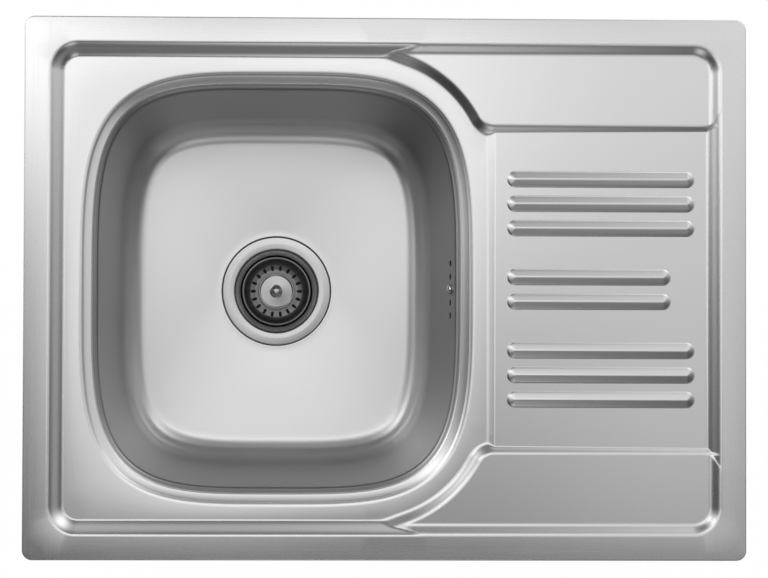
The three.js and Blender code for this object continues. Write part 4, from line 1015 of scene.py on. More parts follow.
    def feature_lines(self) -> list[tuple[np.ndarray, bool]]:
        """Lines in plan that the mesh follows, on both sides of each pressed edge.

        Returns:
            Pairs of x, y points and whether the line closes on itself.
        """
        near = (-1.5, -0.9, -0.4, 0.0, 0.4, 0.9, 1.5)
        between = (0.27, 0.4, 0.5, 0.6, 0.73)
        step = rounded_rectangle(
            self.length - 2 * self.flat, self.width - 2 * self.flat, self.step_corner, 16, 5.0
        )
        rim = rounded_rectangle(self.length, self.width, self.corner, 10, 6.0)
        ledge = self.bowl.points(360)
        shoulder = self.shoulder_line()
        closed = [offset(step, w) for w in near]
        closed += [offset(rim, w) for w in (self.edge_radius, 4.0)]
        folds = (
            -3.4, -2.4, -1.4, -0.8, -0.3, 0.0, 0.2, 0.55, 0.9, 1.2,
            1.5, 2.6, 4.0, 5.6, 7.0, 7.3, 7.7, 8.1, 8.4, self.ledge_width,
        )
        closed += [offset(ledge, w) for w in folds]
        upper: list[np.ndarray] = []
        for w in near:
            foot = offset(step, self.surround_run + w)
            upper.append(foot[(foot[:, 0] < 6) & (foot[:, 1] >= 0)])
            foot = offset(step, self.platform_run + w)
            upper.append(foot[(foot[:, 0] > 8) & (foot[:, 1] > self.field_half - 1)])
            upper.append(offset(shoulder, w))
            foot = offset(shoulder, self.shoulder_run + w)
            upper.append(foot[(foot[:, 0] < 104) & (foot[:, 1] < 209)])
            x = np.linspace(self.field_left + 3, self.right - 8, 30)
            parts = np.linspace(0, 1, 101)
            fall = (self.platform - self.field_height(x)) / (self.platform - self.surround)
            y = self.field_half - np.interp(fall, self.step_share(parts), parts) * self.shoulder_run
            upper.append(np.stack([x, y - w], 1))
            for x in (self.field_left, self.field_left + self.field_edge):
                upper.append(np.array([(x + w, y) for y in np.linspace(0, 142, 12)]))
            x = self.right - self.field_end_run + w
            upper.append(np.array([(x, y) for y in np.linspace(0, 144, 12)]))
        for part in between:
            foot = offset(step, self.surround_run * part)
            upper.append(foot[(foot[:, 0] < 0) & (foot[:, 1] >= 0)])
            foot = offset(step, self.platform_run * part)
            upper.append(foot[(foot[:, 0] > 34) & (foot[:, 1] > self.field_half - 1)])
            foot = offset(step, self.field_end_run * part)
            beside = (foot[:, 1] >= 0) & (foot[:, 1] < self.field_half - 8)
            upper.append(foot[(foot[:, 0] > 150) & beside])
            foot = offset(shoulder, self.shoulder_run * part)
            upper.append(foot[(foot[:, 0] < 104) & (foot[:, 1] < 200)])
        upper += self._grids()
        lines = [(line, True) for line in closed]
        for line in upper:
            lines.append((line, False))
            lines.append((line * np.array([1.0, -1.0]), False))
        return lines + self._rib_lines()

    def _grids(self) -> list[np.ndarray]:
        """Short close lines where several pressed edges run together, in the upper half."""
        lines = []
        zones = ((-14, 32, 201, 220), (280, 299, 138, 158), (86, 104, 130, 150))
        for x0, x1, y0, y1 in zones:
            for y in np.arange(y0, y1, 1.1):
                lines.append(np.array([(x, y + 0.31) for x in np.arange(x0, x1, 1.1)]))
        return lines

    def _rib_lines(self) -> list[tuple[np.ndarray, bool]]:
        """Outlines round each rib and its middle line."""
        lines = []
        for row in self.rib_rows:
            end = self.rib_short_end if abs(row) < 1 else self.rib_long_end
            low, high = self.rib_start + self.rib_half, end - self.rib_half
            y = row * self.rib_pitch
            for away in (8.2, 7.6, 7.1, 6.6, 6.0, 3.6, 2.6, 1.9, 1.4, 0.9, 0.4):
                bend = np.linspace(-math.pi / 2, math.pi / 2, 14)
                right = np.stack([high + away * np.cos(bend), y + away * np.sin(bend)], 1)
                left = np.stack([low - away * np.cos(bend), y - away * np.sin(bend)], 1)
                lines.append((np.concatenate([right, left]), True))
            lines.append((np.array([(low, y), (high, y)]), False))
        return lines

    def upper_face(self) -> tuple[np.ndarray, list[tuple[int, ...]]]:
        """Triangulates the deck in plan along its pressed edges.

        Returns:
            The x, y points and the triangles between the rim's edge and the bowl's opening.
        """
        points: list[Vector] = []
        edges: list[tuple[int, int]] = []
        for line, closed in self.feature_lines():
            start = len(points)
            points.extend(Vector(p) for p in line)
            edges.extend((start + k, start + k + 1) for k in range(len(line) - 1))
            if closed:
                edges.append((len(points) - 1, start))
        found, _, faces, *_ = delaunay_2d_cdt(points, edges, [], 0, 1e-4)
        plan = np.array([tuple(p) for p in found])
        corners = np.array([tuple(f) for f in faces])
        middle = plan[corners].mean(1)
        x, y = middle[:, 0], middle[:, 1]
        within = self.rectangle_inset(x, y, self.edge_radius, self.corner - self.edge_radius) > 0
        kept = within & (self.bowl.inset(x, y) < self.ledge_width)
        return plan, [tuple(int(k) for k in face) for face in corners[kept]]

    def mesh(self) -> bmesh.types.BMesh:
        """Builds the pressed sheet: upper face, turned-down edge and underside."""
        plan, faces = self.upper_face()
        heights = self.height(plan[:, 0], plan[:, 1])
        bm = bmesh.new()
        verts = [bm.verts.new((x, y, z)) for (x, y), z in zip(plan, heights)]
        for face in faces:
            bm.faces.new([verts[k] for k in face])
        bmesh.ops.delete(bm, geom=[v for v in verts if not v.link_faces], context="VERTS")
        bmesh.ops.remove_doubles(bm, verts=bm.verts[:], dist=self.merge_within)
        bmesh.ops.dissolve_degenerate(bm, dist=self.sliver, edges=bm.edges[:])
        self._roll_edge(bm)
        bmesh.ops.recalc_face_normals(bm, faces=bm.faces[:])
        bmesh.ops.solidify(bm, geom=bm.faces[:], thickness=self.sheet)
        for _ in range(self.settle_rounds):
            stray = self._stray(bm)
            if not stray:
                break
            bmesh.ops.smooth_vert(
                bm, verts=stray, factor=1.0, use_axis_x=True, use_axis_y=True, use_axis_z=True
            )
        return bm

    def _stray(self, bm: bmesh.types.BMesh) -> list[bmesh.types.BMVert]:
        """Underside points that a sliver of the upper face has pushed away from the sheet."""
        at = np.array([vert.co for vert in bm.verts])
        depth = self.height(at[:, 0], at[:, 1]) - at[:, 2]
        inset = self.rectangle_inset(at[:, 0], at[:, 1], 0, self.corner)
        deep = (depth > 2 * self.sheet) & (inset > self.edge_radius + 2 * self.sheet)
        away = deep | (inset < -self.sheet)
        return [vert for vert, out in zip(bm.verts, away) if out]

    def _roll_edge(self, bm: bmesh.types.BMesh) -> None:
        """Turns the rim's edge down in a quarter round and a short skirt."""
        half = np.array([self.length / 2 - self.corner, self.width / 2 - self.corner])
        edges = []
        for edge in bm.edges:
            middle = (edge.verts[0].co + edge.verts[1].co) / 2
            beyond = max(abs(middle.x) - self.length / 2, abs(middle.y) - self.width / 2)
            corner = np.maximum(np.abs([middle.x, middle.y]) - half, 0)
            if edge.is_boundary and (beyond > -4 or np.hypot(*corner) > self.corner - 4):
                edges.append(edge)
        radius = self.edge_radius
        level = self.top - self.rim_fall * (self.flat - radius)
        places = [
            (radius * (1 - math.sin(a)), level - radius * (1 - math.cos(a)))
            for a in np.linspace(0, math.pi / 2, 8)[1:]
        ]
        places.append((0.0, self.edge_foot))
        before = radius
        for inset, z in places:
            grown = bmesh.ops.extrude_edge_only(bm, edges=edges)["geom"]
            verts = {g for g in grown if isinstance(g, bmesh.types.BMVert)}
            edges = [
                g for g in grown
                if isinstance(g, bmesh.types.BMEdge) and g.verts[0] in verts and g.verts[1] in verts
            ]
            for vert in verts:
                here = np.array([vert.co.x, vert.co.y])
                out = np.sign(here) * np.maximum(np.abs(here) - half, 0)
                out = out / max(np.hypot(*out), 1e-9)
                vert.co.x += out[0] * (before - inset)
                vert.co.y += out[1] * (before - inset)
                vert.co.z = z
            before = inset

    def smooth_shading(self, thing: bpy.types.Object) -> None:
        """Gives the upper face the true directions of its pressed form."""
        mesh = thing.data
        at = np.empty(len(mesh.vertices) * 3, dtype=np.float32)
        mesh.vertices.foreach_get("co", at)
        at = at.reshape(-1, 3).astype(float) / MM
        level = self.height(at[:, 0], at[:, 1])
        inset = self.rectangle_inset(at[:, 0], at[:, 1], 0, self.corner)
        upper = (np.abs(at[:, 2] - level) < 0.02) & (inset > self.edge_radius - 0.02)
        directions = np.zeros_like(at)
        directions[upper] = self.normals(at[upper, 0], at[upper, 1])
        faces_up = np.empty(len(mesh.polygons) * 3, dtype=np.float32)
        mesh.polygons.foreach_get("normal", faces_up)
        faces_up = faces_up.reshape(-1, 3)[:, 2] > 0.2
        corner_vert = np.empty(len(mesh.loops), dtype=np.int32)
        mesh.loops.foreach_get("vertex_index", corner_vert)
        totals = np.empty(len(mesh.polygons), dtype=np.int32)
        mesh.polygons.foreach_get("loop_total", totals)
        of_corner = directions[corner_vert]
        of_corner[~np.repeat(faces_up, totals)] = 0
        mesh.normals_split_custom_set(of_corner.tolist())

    def build(self, shop: Workshop) -> None:
        """Builds and dresses the deck."""
        thing = shop.piece(
            "deck_pressing", self.mesh(), "deck satin steel",
            replaces=("sink_top",), angle=50,
        )
        self.smooth_shading(thing)


# ---- the drawn bowl --------------------------------------------------------------------------


@dataclass
class Bowl:
    """The deep-drawn bowl with its overflow holes."""

    sheet: float = STEEL_SHEET
    ledge_width: float = LEDGE_WIDTH
    gap: float = 0.03
    surround: float = SURROUND_Z
    lip_radius: float = 4.6
    lip_angle: float = 24.0
    lip_folds: tuple[tuple[float, float], ...] = (
        (0.12, 50.0), (0.12, 44.0), (0.2, 34.0), (0.3, 27.0), (0.4, 24.0), (0.4, 24.0),
    )
    taper: float = WALL_TAPER
    fillet: float = 20.0
    foot_z: float = -157.5
    floor_edge: float = 7.0
    floor_fall: float = 7.5
    dish_radius: float = 57.9
    dish_flat: float = 57.2
    dish_radii: tuple[float, ...] = (
        61.0, 60.0, 59.2, 58.6, 58.2, 58.0, 57.8, 57.6, 57.4, 57.2, 57.0, 56.5, 52.0, 47.0,
    )
    hole_radius: float = 45.0
    around: int = 320
    overflow_drop: float = 27.0
    overflow_pitch: float = 12.0
    overflow_radius: float = 3.0
    screw_radius: float = 2.8
    ledge_drop: float = 3.4
    bowl: BowlOutline = field(default_factory=BowlOutline)

    def section(self) -> list[tuple[float, float, float, float]]:
        """Section of the bowl's inside from the ledge to the drain hole.

        Returns:
            Places as (inset from the ledge, height, radius at the drain, share of the circle).
        """
        start = math.radians(self.lip_angle)
        steep = math.pi / 2 - math.radians(self.taper)
        flat = math.radians(self.floor_edge)
        x, z = self.ledge_width + self.gap, self.surround - self.ledge_drop
        places = [(x, z)]
        for run, angle in self.lip_folds:
            x, z = x + run, z - run * math.tan(math.radians(angle))
            places.append((x, z))
        for angle in np.linspace(start, steep, 12)[1:]:
            places.append(
                (
                    x + self.lip_radius * (math.sin(angle) - math.sin(start)),
                    z - self.lip_radius * (math.cos(start) - math.cos(angle)),
                )
            )
        top_x, top_z = places[-1]
        foot_z = self.foot_z + self.fillet * (math.cos(flat) - math.cos(steep))
        foot_x = top_x + (top_z - foot_z) * math.tan(math.radians(self.taper))
        for part in np.linspace(0, 1, 22)[1:]:
            places.append((top_x + (foot_x - top_x) * part, top_z + (foot_z - top_z) * part))
        for angle in np.linspace(steep, flat, 26)[1:]:
            places.append(
                (
                    foot_x + self.fillet * (math.sin(steep) - math.sin(angle)),
                    foot_z - self.fillet * (math.cos(angle) - math.cos(steep)),
                )
            )
        end_x, end_z = places[-1]
        radius = self.dish_radius + 4
        dish_z = self.foot_z - self.floor_fall
        found = [(px, pz, radius, 0.0) for px, pz in places]
        for part in np.linspace(0, 1, 25)[1:]:
            found.append((end_x, end_z + (dish_z - end_z) * part, radius, part))
        for r in (*self.dish_radii, self.hole_radius):
            down = dish_z - 3.0 * (self.dish_radius - r) / (self.dish_radius - self.dish_flat)
            z = smooth_max(smooth_min(dish_z, down, 0.8), np.array(SEAT_Z), 0.6)
            found.append((end_x, float(z), r, 1.0))
        return found

    def rings(self, away: float) -> list[np.ndarray]:
        """Rings of the bowl's inside, moved outwards by a distance."""
        section = self.section()
        flat = np.array([
            ((1 - t) * (self.bowl.half_length - inset) + t * r, z) for inset, z, r, t in section
        ])
        side = np.gradient(flat, axis=0)
        side /= np.linalg.norm(side, axis=1, keepdims=True)
        out = np.stack([-side[:, 1], side[:, 0]], 1) * away
        line = self.bowl.points(self.around)
        made = []
        for (inset, z, r, t), (dx, dz) in zip(section, out):
            wall = line[:, :2] + line[:, 2:4] * (inset - dx)
            circle = np.stack([BOWL_X - line[:, 2] * (r + dx), -line[:, 3] * (r + dx)], 1)
            plan = wall * (1 - t) + circle * t
            made.append(np.column_stack([plan, np.full(len(plan), z + dz)]))
        return made

    def wall_x(self, z: float) -> float:
        """Place along X of the right wall's inside at a height."""
        section = [(inset, level) for inset, level, _, t in self.section() if t == 0]
        levels = [-level for _, level in section]
        inset = np.interp(-z, levels, [inset for inset, _ in section])
        return BOWL_X + self.bowl.half_length - float(inset)

    def build(self, shop: Workshop) -> None:
        """Builds and dresses the bowl."""
        inner, outer = self.rings(0.0), self.rings(self.sheet)
        shell = draped([*inner, *outer[::-1]])
        z = self.surround - self.overflow_drop
        drills = []
        for place in (-2, -1, 0, 1, 2):
            radius = self.screw_radius if place == 0 else self.overflow_radius
            through = placed(self.wall_x(z), place * self.overflow_pitch, z) @ spun(90, "Y")
            drills.append(rod(radius, 24, through, 28))
        shell = carved(shell, joined(*drills))
        shop.piece(
            "bowl_pressing", shell, "bowl satin steel",
            replaces=("sink_bowl",), angle=40,
        )


# ---- waste and basket ------------------------------------------------------------------------


@dataclass
class Waste:
    """The strainer waste: flange cup, body with outlet, and the screw that holds them."""

    rim: float = 56.9
    rim_flat: float = 45.8
    cup: float = 38.2
    cup_depth: float = 24.0
    sheet: float = 1.0
    top: float = 2.2
    ports: int = 6
    outlet: float = 23.9
    outlet_end: float = 74.0

    def flange(self) -> bmesh.types.BMesh:
        """Builds the flange and its cup, with the ports in its floor."""
        foot, t = -self.cup_depth, self.sheet
        profile = rounded_profile(
            [
                (3.2, foot + t - 3.6, 0.2), (7.1, foot + t - 3.6, 0.6), (8.6, foot + t, 0.8),
                (self.cup, foot + t, 2.6), (self.cup, -6.0, 1.2), (43.0, -1.1, 2.0),
                (self.rim_flat - 1.4, self.top, 1.6), (self.rim_flat + 4, self.top + 0.25, 1.0),
                (self.rim, self.top, 1.2), (self.rim, 0.3, 0.3), (self.rim - 0.9, 0.3, 0.2),
                (self.rim - 0.9, 1.2, 0.4), (45.4, 1.2, 0.6), (44.2, 0.2, 0.4), (44.0, -1.6, 0.6),
                (self.cup + t, -6.6, 1.2), (self.cup + t, foot, 2.6), (9.2, foot, 0.6),
                (7.6, foot - 3.6, 0.6), (3.2, foot - 3.6, 0.2),
            ],
            6,
        )
        cup = turned(profile, 128)
        slots = []
        for k in range(self.ports):
            mid, half = k * 60.0, 60.0 / 2 - 6.3
            outer = arc(21, mid - half, mid + half, 14)
            inner = arc(11, mid + half - 7, mid - half + 7, 8)
            slots.append(prism(outer + inner, foot - 2, foot + t + 1))
        return carved(cup, joined(*slots))

    def body(self) -> bmesh.types.BMesh:
        """Builds the moulded body: cup, outlet thread and the branch for the overflow."""
        top = -3.8
        outline = [
            (44.5, top, 0.2), (53.0, top, 0.6), (53.0, top - 5, 0.8), (43.4, top - 5, 1.5),
            (43.4, -36.0, 3.0), (40.4, -42.0, 3.0), (self.outlet, -48.0, 2.0),
        ]
        thread = []
        z = -52.0
        while z > -self.outlet_end + 3:
            root = self.outlet - 1.0
            thread += [(self.outlet, z, 0.0), (root, z - 0.9, 0.0), (self.outlet, z - 1.8, 0.0)]
            z -= 2.3
        inside = [
            (self.outlet, -self.outlet_end, 0.5), (20.9, -self.outlet_end, 0.4), (20.9, -46.0, 1.5),
            (37.4, -39.5, 3.0), (40.4, -35.0, 3.0), (40.4, -8.5, 1.0),
        ]
        shell = turned(rounded_profile([*outline, *thread, *inside], 4), 96)
        ribs = []
        for k in range(16):
            angle = k * 22.5 + 11.25
            rib = prism([(42.5, -0.9), (51.8, -0.9), (51.8, 0.9), (42.5, 0.9)], top - 12, top - 4.5)
            for vert in rib.verts:
                if vert.co.z < top - 10 and vert.co.x > 50:
                    vert.co.x = 43.6
            ribs.append(moved(rib, spun(angle)))
        hub_low, hub_top = -44.9, -27.9
        hub_profile = [
            (3.2, hub_low, 0.2), (8, hub_low, 0.8), (8, hub_top, 0.6), (5.3, hub_top, 0.2),
            (5.3, hub_top - 10.3, 0.0), (3.2, hub_top - 10.3, 0.0),
        ]
        hub = turned(rounded_profile(hub_profile, 3), 48)
        webs = []
        for k in range(3):
            web = prism([(7.6, -1.5), (40.8, -1.5), (40.8, 1.5), (7.6, 1.5)], hub_low, hub_low + 13)
            soften(web, 0.4)
            webs.append(moved(web, spun(k * 120 + 60)))
        branch = moved(hose_coupling(), placed(BRANCH_X, 0, BRANCH_Z) @ spun(90, "Y"))
        return joined(shell, *ribs, hub, *webs, branch)

    def build(self, shop: Workshop) -> None:
        """Builds and dresses the waste."""
        at = placed(BOWL_X, 0, SEAT_Z)
        shop.piece("waste_cup", self.flange(), "waste bright steel",
                   replaces=("waste_flange",), matrix=at)
        shop.piece("waste_housing", self.body(), "white plastic",
                   replaces=("waste_body",), matrix=at)
        profile = [
            (0, -44.9, 0), (2.3, -44.9, 0.2), (2.9, -43.9, 0.4), (2.9, -26.3, 0), (6.5, -26.3, 0.2),
            (6.5, -25.3, 0.5), (4.0, -23.7, 1.0), (0, -23.7, 0),
        ]
        screw = turned(rounded_profile(profile, 4, closed=False), 48)
        screw = carved(screw, block((16, 1.4, 3), -23.2))
        shop.piece("waste_screw", screw, "screw steel",
                   replaces=("centre_screw",), matrix=at)
        for node, finish in (("flange_gasket", "black rubber"), ("body_gasket", "black rubber"),
                             ("screw_insert", "insert brass")):
            shop.dress(node, finish)


@dataclass
class Basket:
    """The lift-out strainer basket with its knob, stem and seal."""

    rim: float = 36.4
    rim_top: float = -6.0
    depth: float = 9.5
    floor: float = 25.5
    sheet: float = 0.8
    slots: int = 18
    slot_width: float = 2.9
    slot_from: float = 22.0
    slot_to: float = 27.6
    knob: float = 19.0
    knob_low: float = -5.4
    knob_high: float = -3.0
    dome: float = 5.9
    seal: float = 31.5
    seal_low: float = -22.7

    def cup(self) -> bmesh.types.BMesh:
        """Builds the pressed cup with its slots."""
        low, t = self.rim_top - self.depth, self.sheet
        profile = rounded_profile(
            [
                (3.3, low, 0.2), (self.floor - 2.2, low, 2.5), (self.floor + 3.4, low + 1.2, 5.0),
                (self.floor + 6.0, low + 4.6, 4.0), (self.rim - 2.4, self.rim_top - 0.9, 1.0),
                (self.rim - 1.4, self.rim_top, 0.8), (self.rim, self.rim_top - 0.2, 0.7),
                (self.rim, self.rim_top - 1.7, 0.7), (self.rim - 1.5, self.rim_top - 1.9, 0.5),
                (self.floor + 6.8, low + 4.2, 4.0), (self.floor + 4.0, low + 0.6, 5.0),
                (self.floor - 2.2, low - t, 2.5), (3.3, low - t, 0.2),
            ],
            6,
        )
        body = turned(profile, 144)
        cutters = []
        half = self.slot_width / 2
        for k in range(self.slots):
            length = self.slot_to - self.slot_from
            outline = rounded_profile([
                (0, -half, half), (length, -half, half), (length, half, half), (0, half, half)], 4)
            cutter = prism(outline, low - 4, low + 5.4)
            cutters.append(moved(cutter, spun(k * 360 / self.slots) @ placed(self.slot_from, 0, 0)))
        return carved(body, joined(*cutters))

    def knob_disc(self) -> bmesh.types.BMesh:
        """Builds the knob: a turned disc with a raised rim bead and a small dome."""
        low, high, r = self.knob_low, self.knob_high, self.knob
        profile = rounded_profile(
            [
                (0, low + 0.6, 0), (r - 2.8, low + 0.6, 0.4), (r - 1.8, low - 0.9, 0.5),
                (r, low - 0.2, 0.9), (r + 0.05, high - 0.7, 0.8), (r - 0.9, high + 0.05, 0.9),
                (r - 2.6, high - 0.9, 1.2), (self.dome + 1.2, high - 0.2, 1.6),
                (self.dome, high + 0.1, 0.9), (self.dome - 1.0, high + 1.7, 2.0),
                (2.6, high + 3.1, 2.4), (0, high + 3.4, 0),
            ],
            7,
            closed=False,
        )
        return turned(profile, 96)

    def build(self, shop: Workshop) -> None:
        """Builds and dresses the basket."""
        at = placed(BOWL_X, 0, SEAT_Z)
        low = self.rim_top - self.depth
        shop.piece("basket_cup", self.cup(), "basket steel", BASKET_BODY,
                   ("basket",), matrix=at)
        shop.piece("basket_knob_disc", self.knob_disc(), "knob spun steel",
                   BASKET_BODY, ("basket_knob",), matrix=at)
        lip, wide = self.seal_low, self.seal
        seal = [
            (3.3, lip + 0.8, 0.2), (wide - 3, lip + 0.8, 0.4), (wide - 2, lip, 0.3),
            (wide, lip, 0.5), (wide, lip + 1.2, 0.5), (wide - 3, lip + 2.6, 0.8),
            (3.3, lip + 2.6, 0.2),
        ]
        shop.piece("basket_stopper", turned(rounded_profile(seal, 4), 72), "black rubber",
                   BASKET_BODY, ("basket_seal",), matrix=at)
        under, knob = low - self.sheet - 0.3, self.knob_low - 0.3
        stem = [
            (0, lip + 1.2, 0), (3.0, lip + 1.2, 0.2), (3.0, lip + 2.9, 0.2), (6.0, lip + 2.9, 0.5),
            (6.0, under, 0.5), (3.0, under, 0.2), (3.0, knob, 0.2), (0, knob, 0),
        ]
        shop.piece("basket_pin", turned(rounded_profile(stem, 3, closed=False), 40), "screw steel",
                   BASKET_BODY, ("basket_stem",), matrix=at)


# ---- overflow --------------------------------------------------------------------------------


@dataclass
class Overflow:
    """The overflow behind the bowl's right wall, and its ribbed hose to the waste."""

    hose_x: float = 83.0
    z: float = -32.0
    taper: float = WALL_TAPER
    bend: float = 55.0
    root: float = 11.6
    crest: float = 13.5
    bore: float = 10.1
    cuff: float = 12.6
    cuff_length: float = 26.0
    pitch: float = 5.0
    nut: float = 17.0
    shoulder: float = 10.3

    def place(self, bowl: Bowl) -> Matrix:
        """Matrix of the overflow's seat behind the wall, tilted as the wall is."""
        out = bowl.wall_x(self.z) + bowl.sheet / math.cos(math.radians(self.taper))
        return placed(out + 0.3, 0, self.z) @ spun(self.taper, "Y")

    @staticmethod
    def upright(
        length: float, height: float, low: float, high: float, radius: float
    ) -> bmesh.types.BMesh:
        """Builds a rounded box whose broad side stands in the YZ plane."""
        outline = [(x, y) for x, y, *_ in rounded_rectangle(length, height, radius, 6, 40.0)]
        return moved(prism(outline, low, high), Z_TO_X)

    def hose_nut(self) -> bmesh.types.BMesh:
        """Builds a fluted union nut along +Z."""
        outline = []
        for k in range(144):
            angle = k / 144 * 2 * math.pi
            radius = self.nut - 0.6 - 0.6 * math.cos(angle * 12)
            outline.append((radius * math.cos(angle), radius * math.sin(angle)))
        body = carved(prism(outline, 3, 21), rod(13.2, 30, placed(0, 0, 12), 64))
        soften(body, 0.7, 60, 3)
        return body

    def hose(self, top_z: float, end_x: float, end_z: float) -> bmesh.types.BMesh:
        """Builds the ribbed hose down from the overflow and round to the waste.

        Args:
            top_z: Height of its upper end.
            end_x: Place along X of its lower end.
            end_z: Height of its lower end.

        Returns:
            The hose with its bore.
        """
        fall = top_z - end_z - self.bend
        sweep = self.bend * math.pi / 2
        total = fall + sweep + self.hose_x - self.bend - end_x

        def circle(run: float, radius: float) -> np.ndarray:
            """Points round the hose at a distance along it."""
            past = min(max(run - fall, 0.0), sweep)
            angle = past / self.bend
            side = np.array([math.cos(angle), 0, -math.sin(angle)])
            ahead = np.array([-math.sin(angle), 0, -math.cos(angle)])
            middle = np.array([self.hose_x - self.bend, 0, end_z + self.bend]) + side * self.bend
            middle = middle + ahead * (run - fall - past)
            turn = np.linspace(0, 2 * np.pi, 48, endpoint=False)
            ring = np.outer(np.cos(turn), side) + np.outer(np.sin(turn), (0, 1, 0))
            return middle + radius * ring

        ribs = int((total - 2 * self.cuff_length) / self.pitch)
        first = (total - ribs * self.pitch) / 2
        last = total - first
        crest, flank, cuff, edge = self.crest, self.crest - 0.5, self.cuff, self.cuff - 0.5
        rib = (
            (0.0, self.root), (0.16, self.root), (0.3, flank), (0.42, crest),
            (0.58, crest), (0.7, flank), (0.84, self.root),
        )
        places = [(0, edge), (0.5, cuff), (first - 2, cuff), (first - 1.2, edge)]
        for k in range(ribs):
            places += [(first + (k + part) * self.pitch, radius) for part, radius in rib]
        places += [(last, self.root), (last + 1.2, edge), (last + 2, cuff)]
        places += [(total - 0.5, cuff), (total, edge)]
        outside = [circle(run, radius) for run, radius in places]
        inside = [circle(total * (1 - part), self.bore) for part in np.linspace(0, 1, 40)]
        return draped([*outside, *inside])

    def build(self, shop: Workshop, bowl: Bowl) -> None:
        """Builds and dresses the overflow.

        Args:
            shop: The workshop.
            bowl: The bowl whose wall carries it.
        """
        seat = self.place(bowl)
        box = self.upright(66, 28, 3.3, 19.3, 8)
        soften(box, 1.6, 40, 3)
        box = carved(moved(box, seat), moved(self.upright(62, 24, 2.3, 17.3, 6), seat))
        top_z = self.z - 16
        down = placed(self.hose_x, 0, top_z) @ spun(180, "X")
        shop.piece("overflow_box", joined(box, moved(hose_coupling(), down)), "white plastic",
                   replaces=("overflow_housing",))
        shop.piece("overflow_upper_nut", self.hose_nut(), "white plastic",
                   replaces=("overflow_nut_top",), matrix=down)
        branch_x, branch_z = BOWL_X + BRANCH_X, SEAT_Z + BRANCH_Z
        branch = placed(branch_x, 0, branch_z) @ spun(90, "Y")
        shop.piece("overflow_lower_nut", self.hose_nut(), "white plastic",
                   replaces=("overflow_nut_bottom",), matrix=branch)
        hose = self.hose(top_z - self.shoulder, branch_x + self.shoulder, branch_z)
        shop.piece("overflow_ribbed_hose", hose, "hose plastic",
                   replaces=("overflow_hose",), angle=60)
        profile = [
            (0, 2.9, 0), (2.2, 2.7, 2.0), (4.4, 1.4, 1.6), (4.8, 0, 0.3), (2.5, 0, 0.1),
            (2.5, -6.5, 0.4), (0, -6.9, 0),
        ]
        screw = turned(rounded_profile(profile, 5, closed=False), 48)
        screw = carved(screw, block((7.4, 1.1, 2.6), 3.0))
        head = seat @ placed(-1.4, 0, 0) @ spun(-90, "Y")
        shop.piece("overflow_cap_screw", screw, "screw steel",
                   replaces=("overflow_screw",), matrix=head)
        shop.dress("overflow_gasket", "black rubber")


# ---- rim seal, rails and clips ---------------------------------------------------------------


class Side(Enum):
    """The four sides of the rim: their middle in plan and the turn of their inward direction."""

    FRONT = (0.0, -RIM_WIDTH / 2, 0.0)
    BACK = (0.0, RIM_WIDTH / 2, 180.0)
    LEFT = (-RIM_LENGTH / 2, 0.0, -90.0)
    RIGHT = (RIM_LENGTH / 2, 0.0, 90.0)

    def matrix(self) -> Matrix:
        """Matrix that brings a piece made along X, inwards along +Y, to this side."""
        x, y, turn = self.value
        return placed(x, y, 0) @ spun(turn)


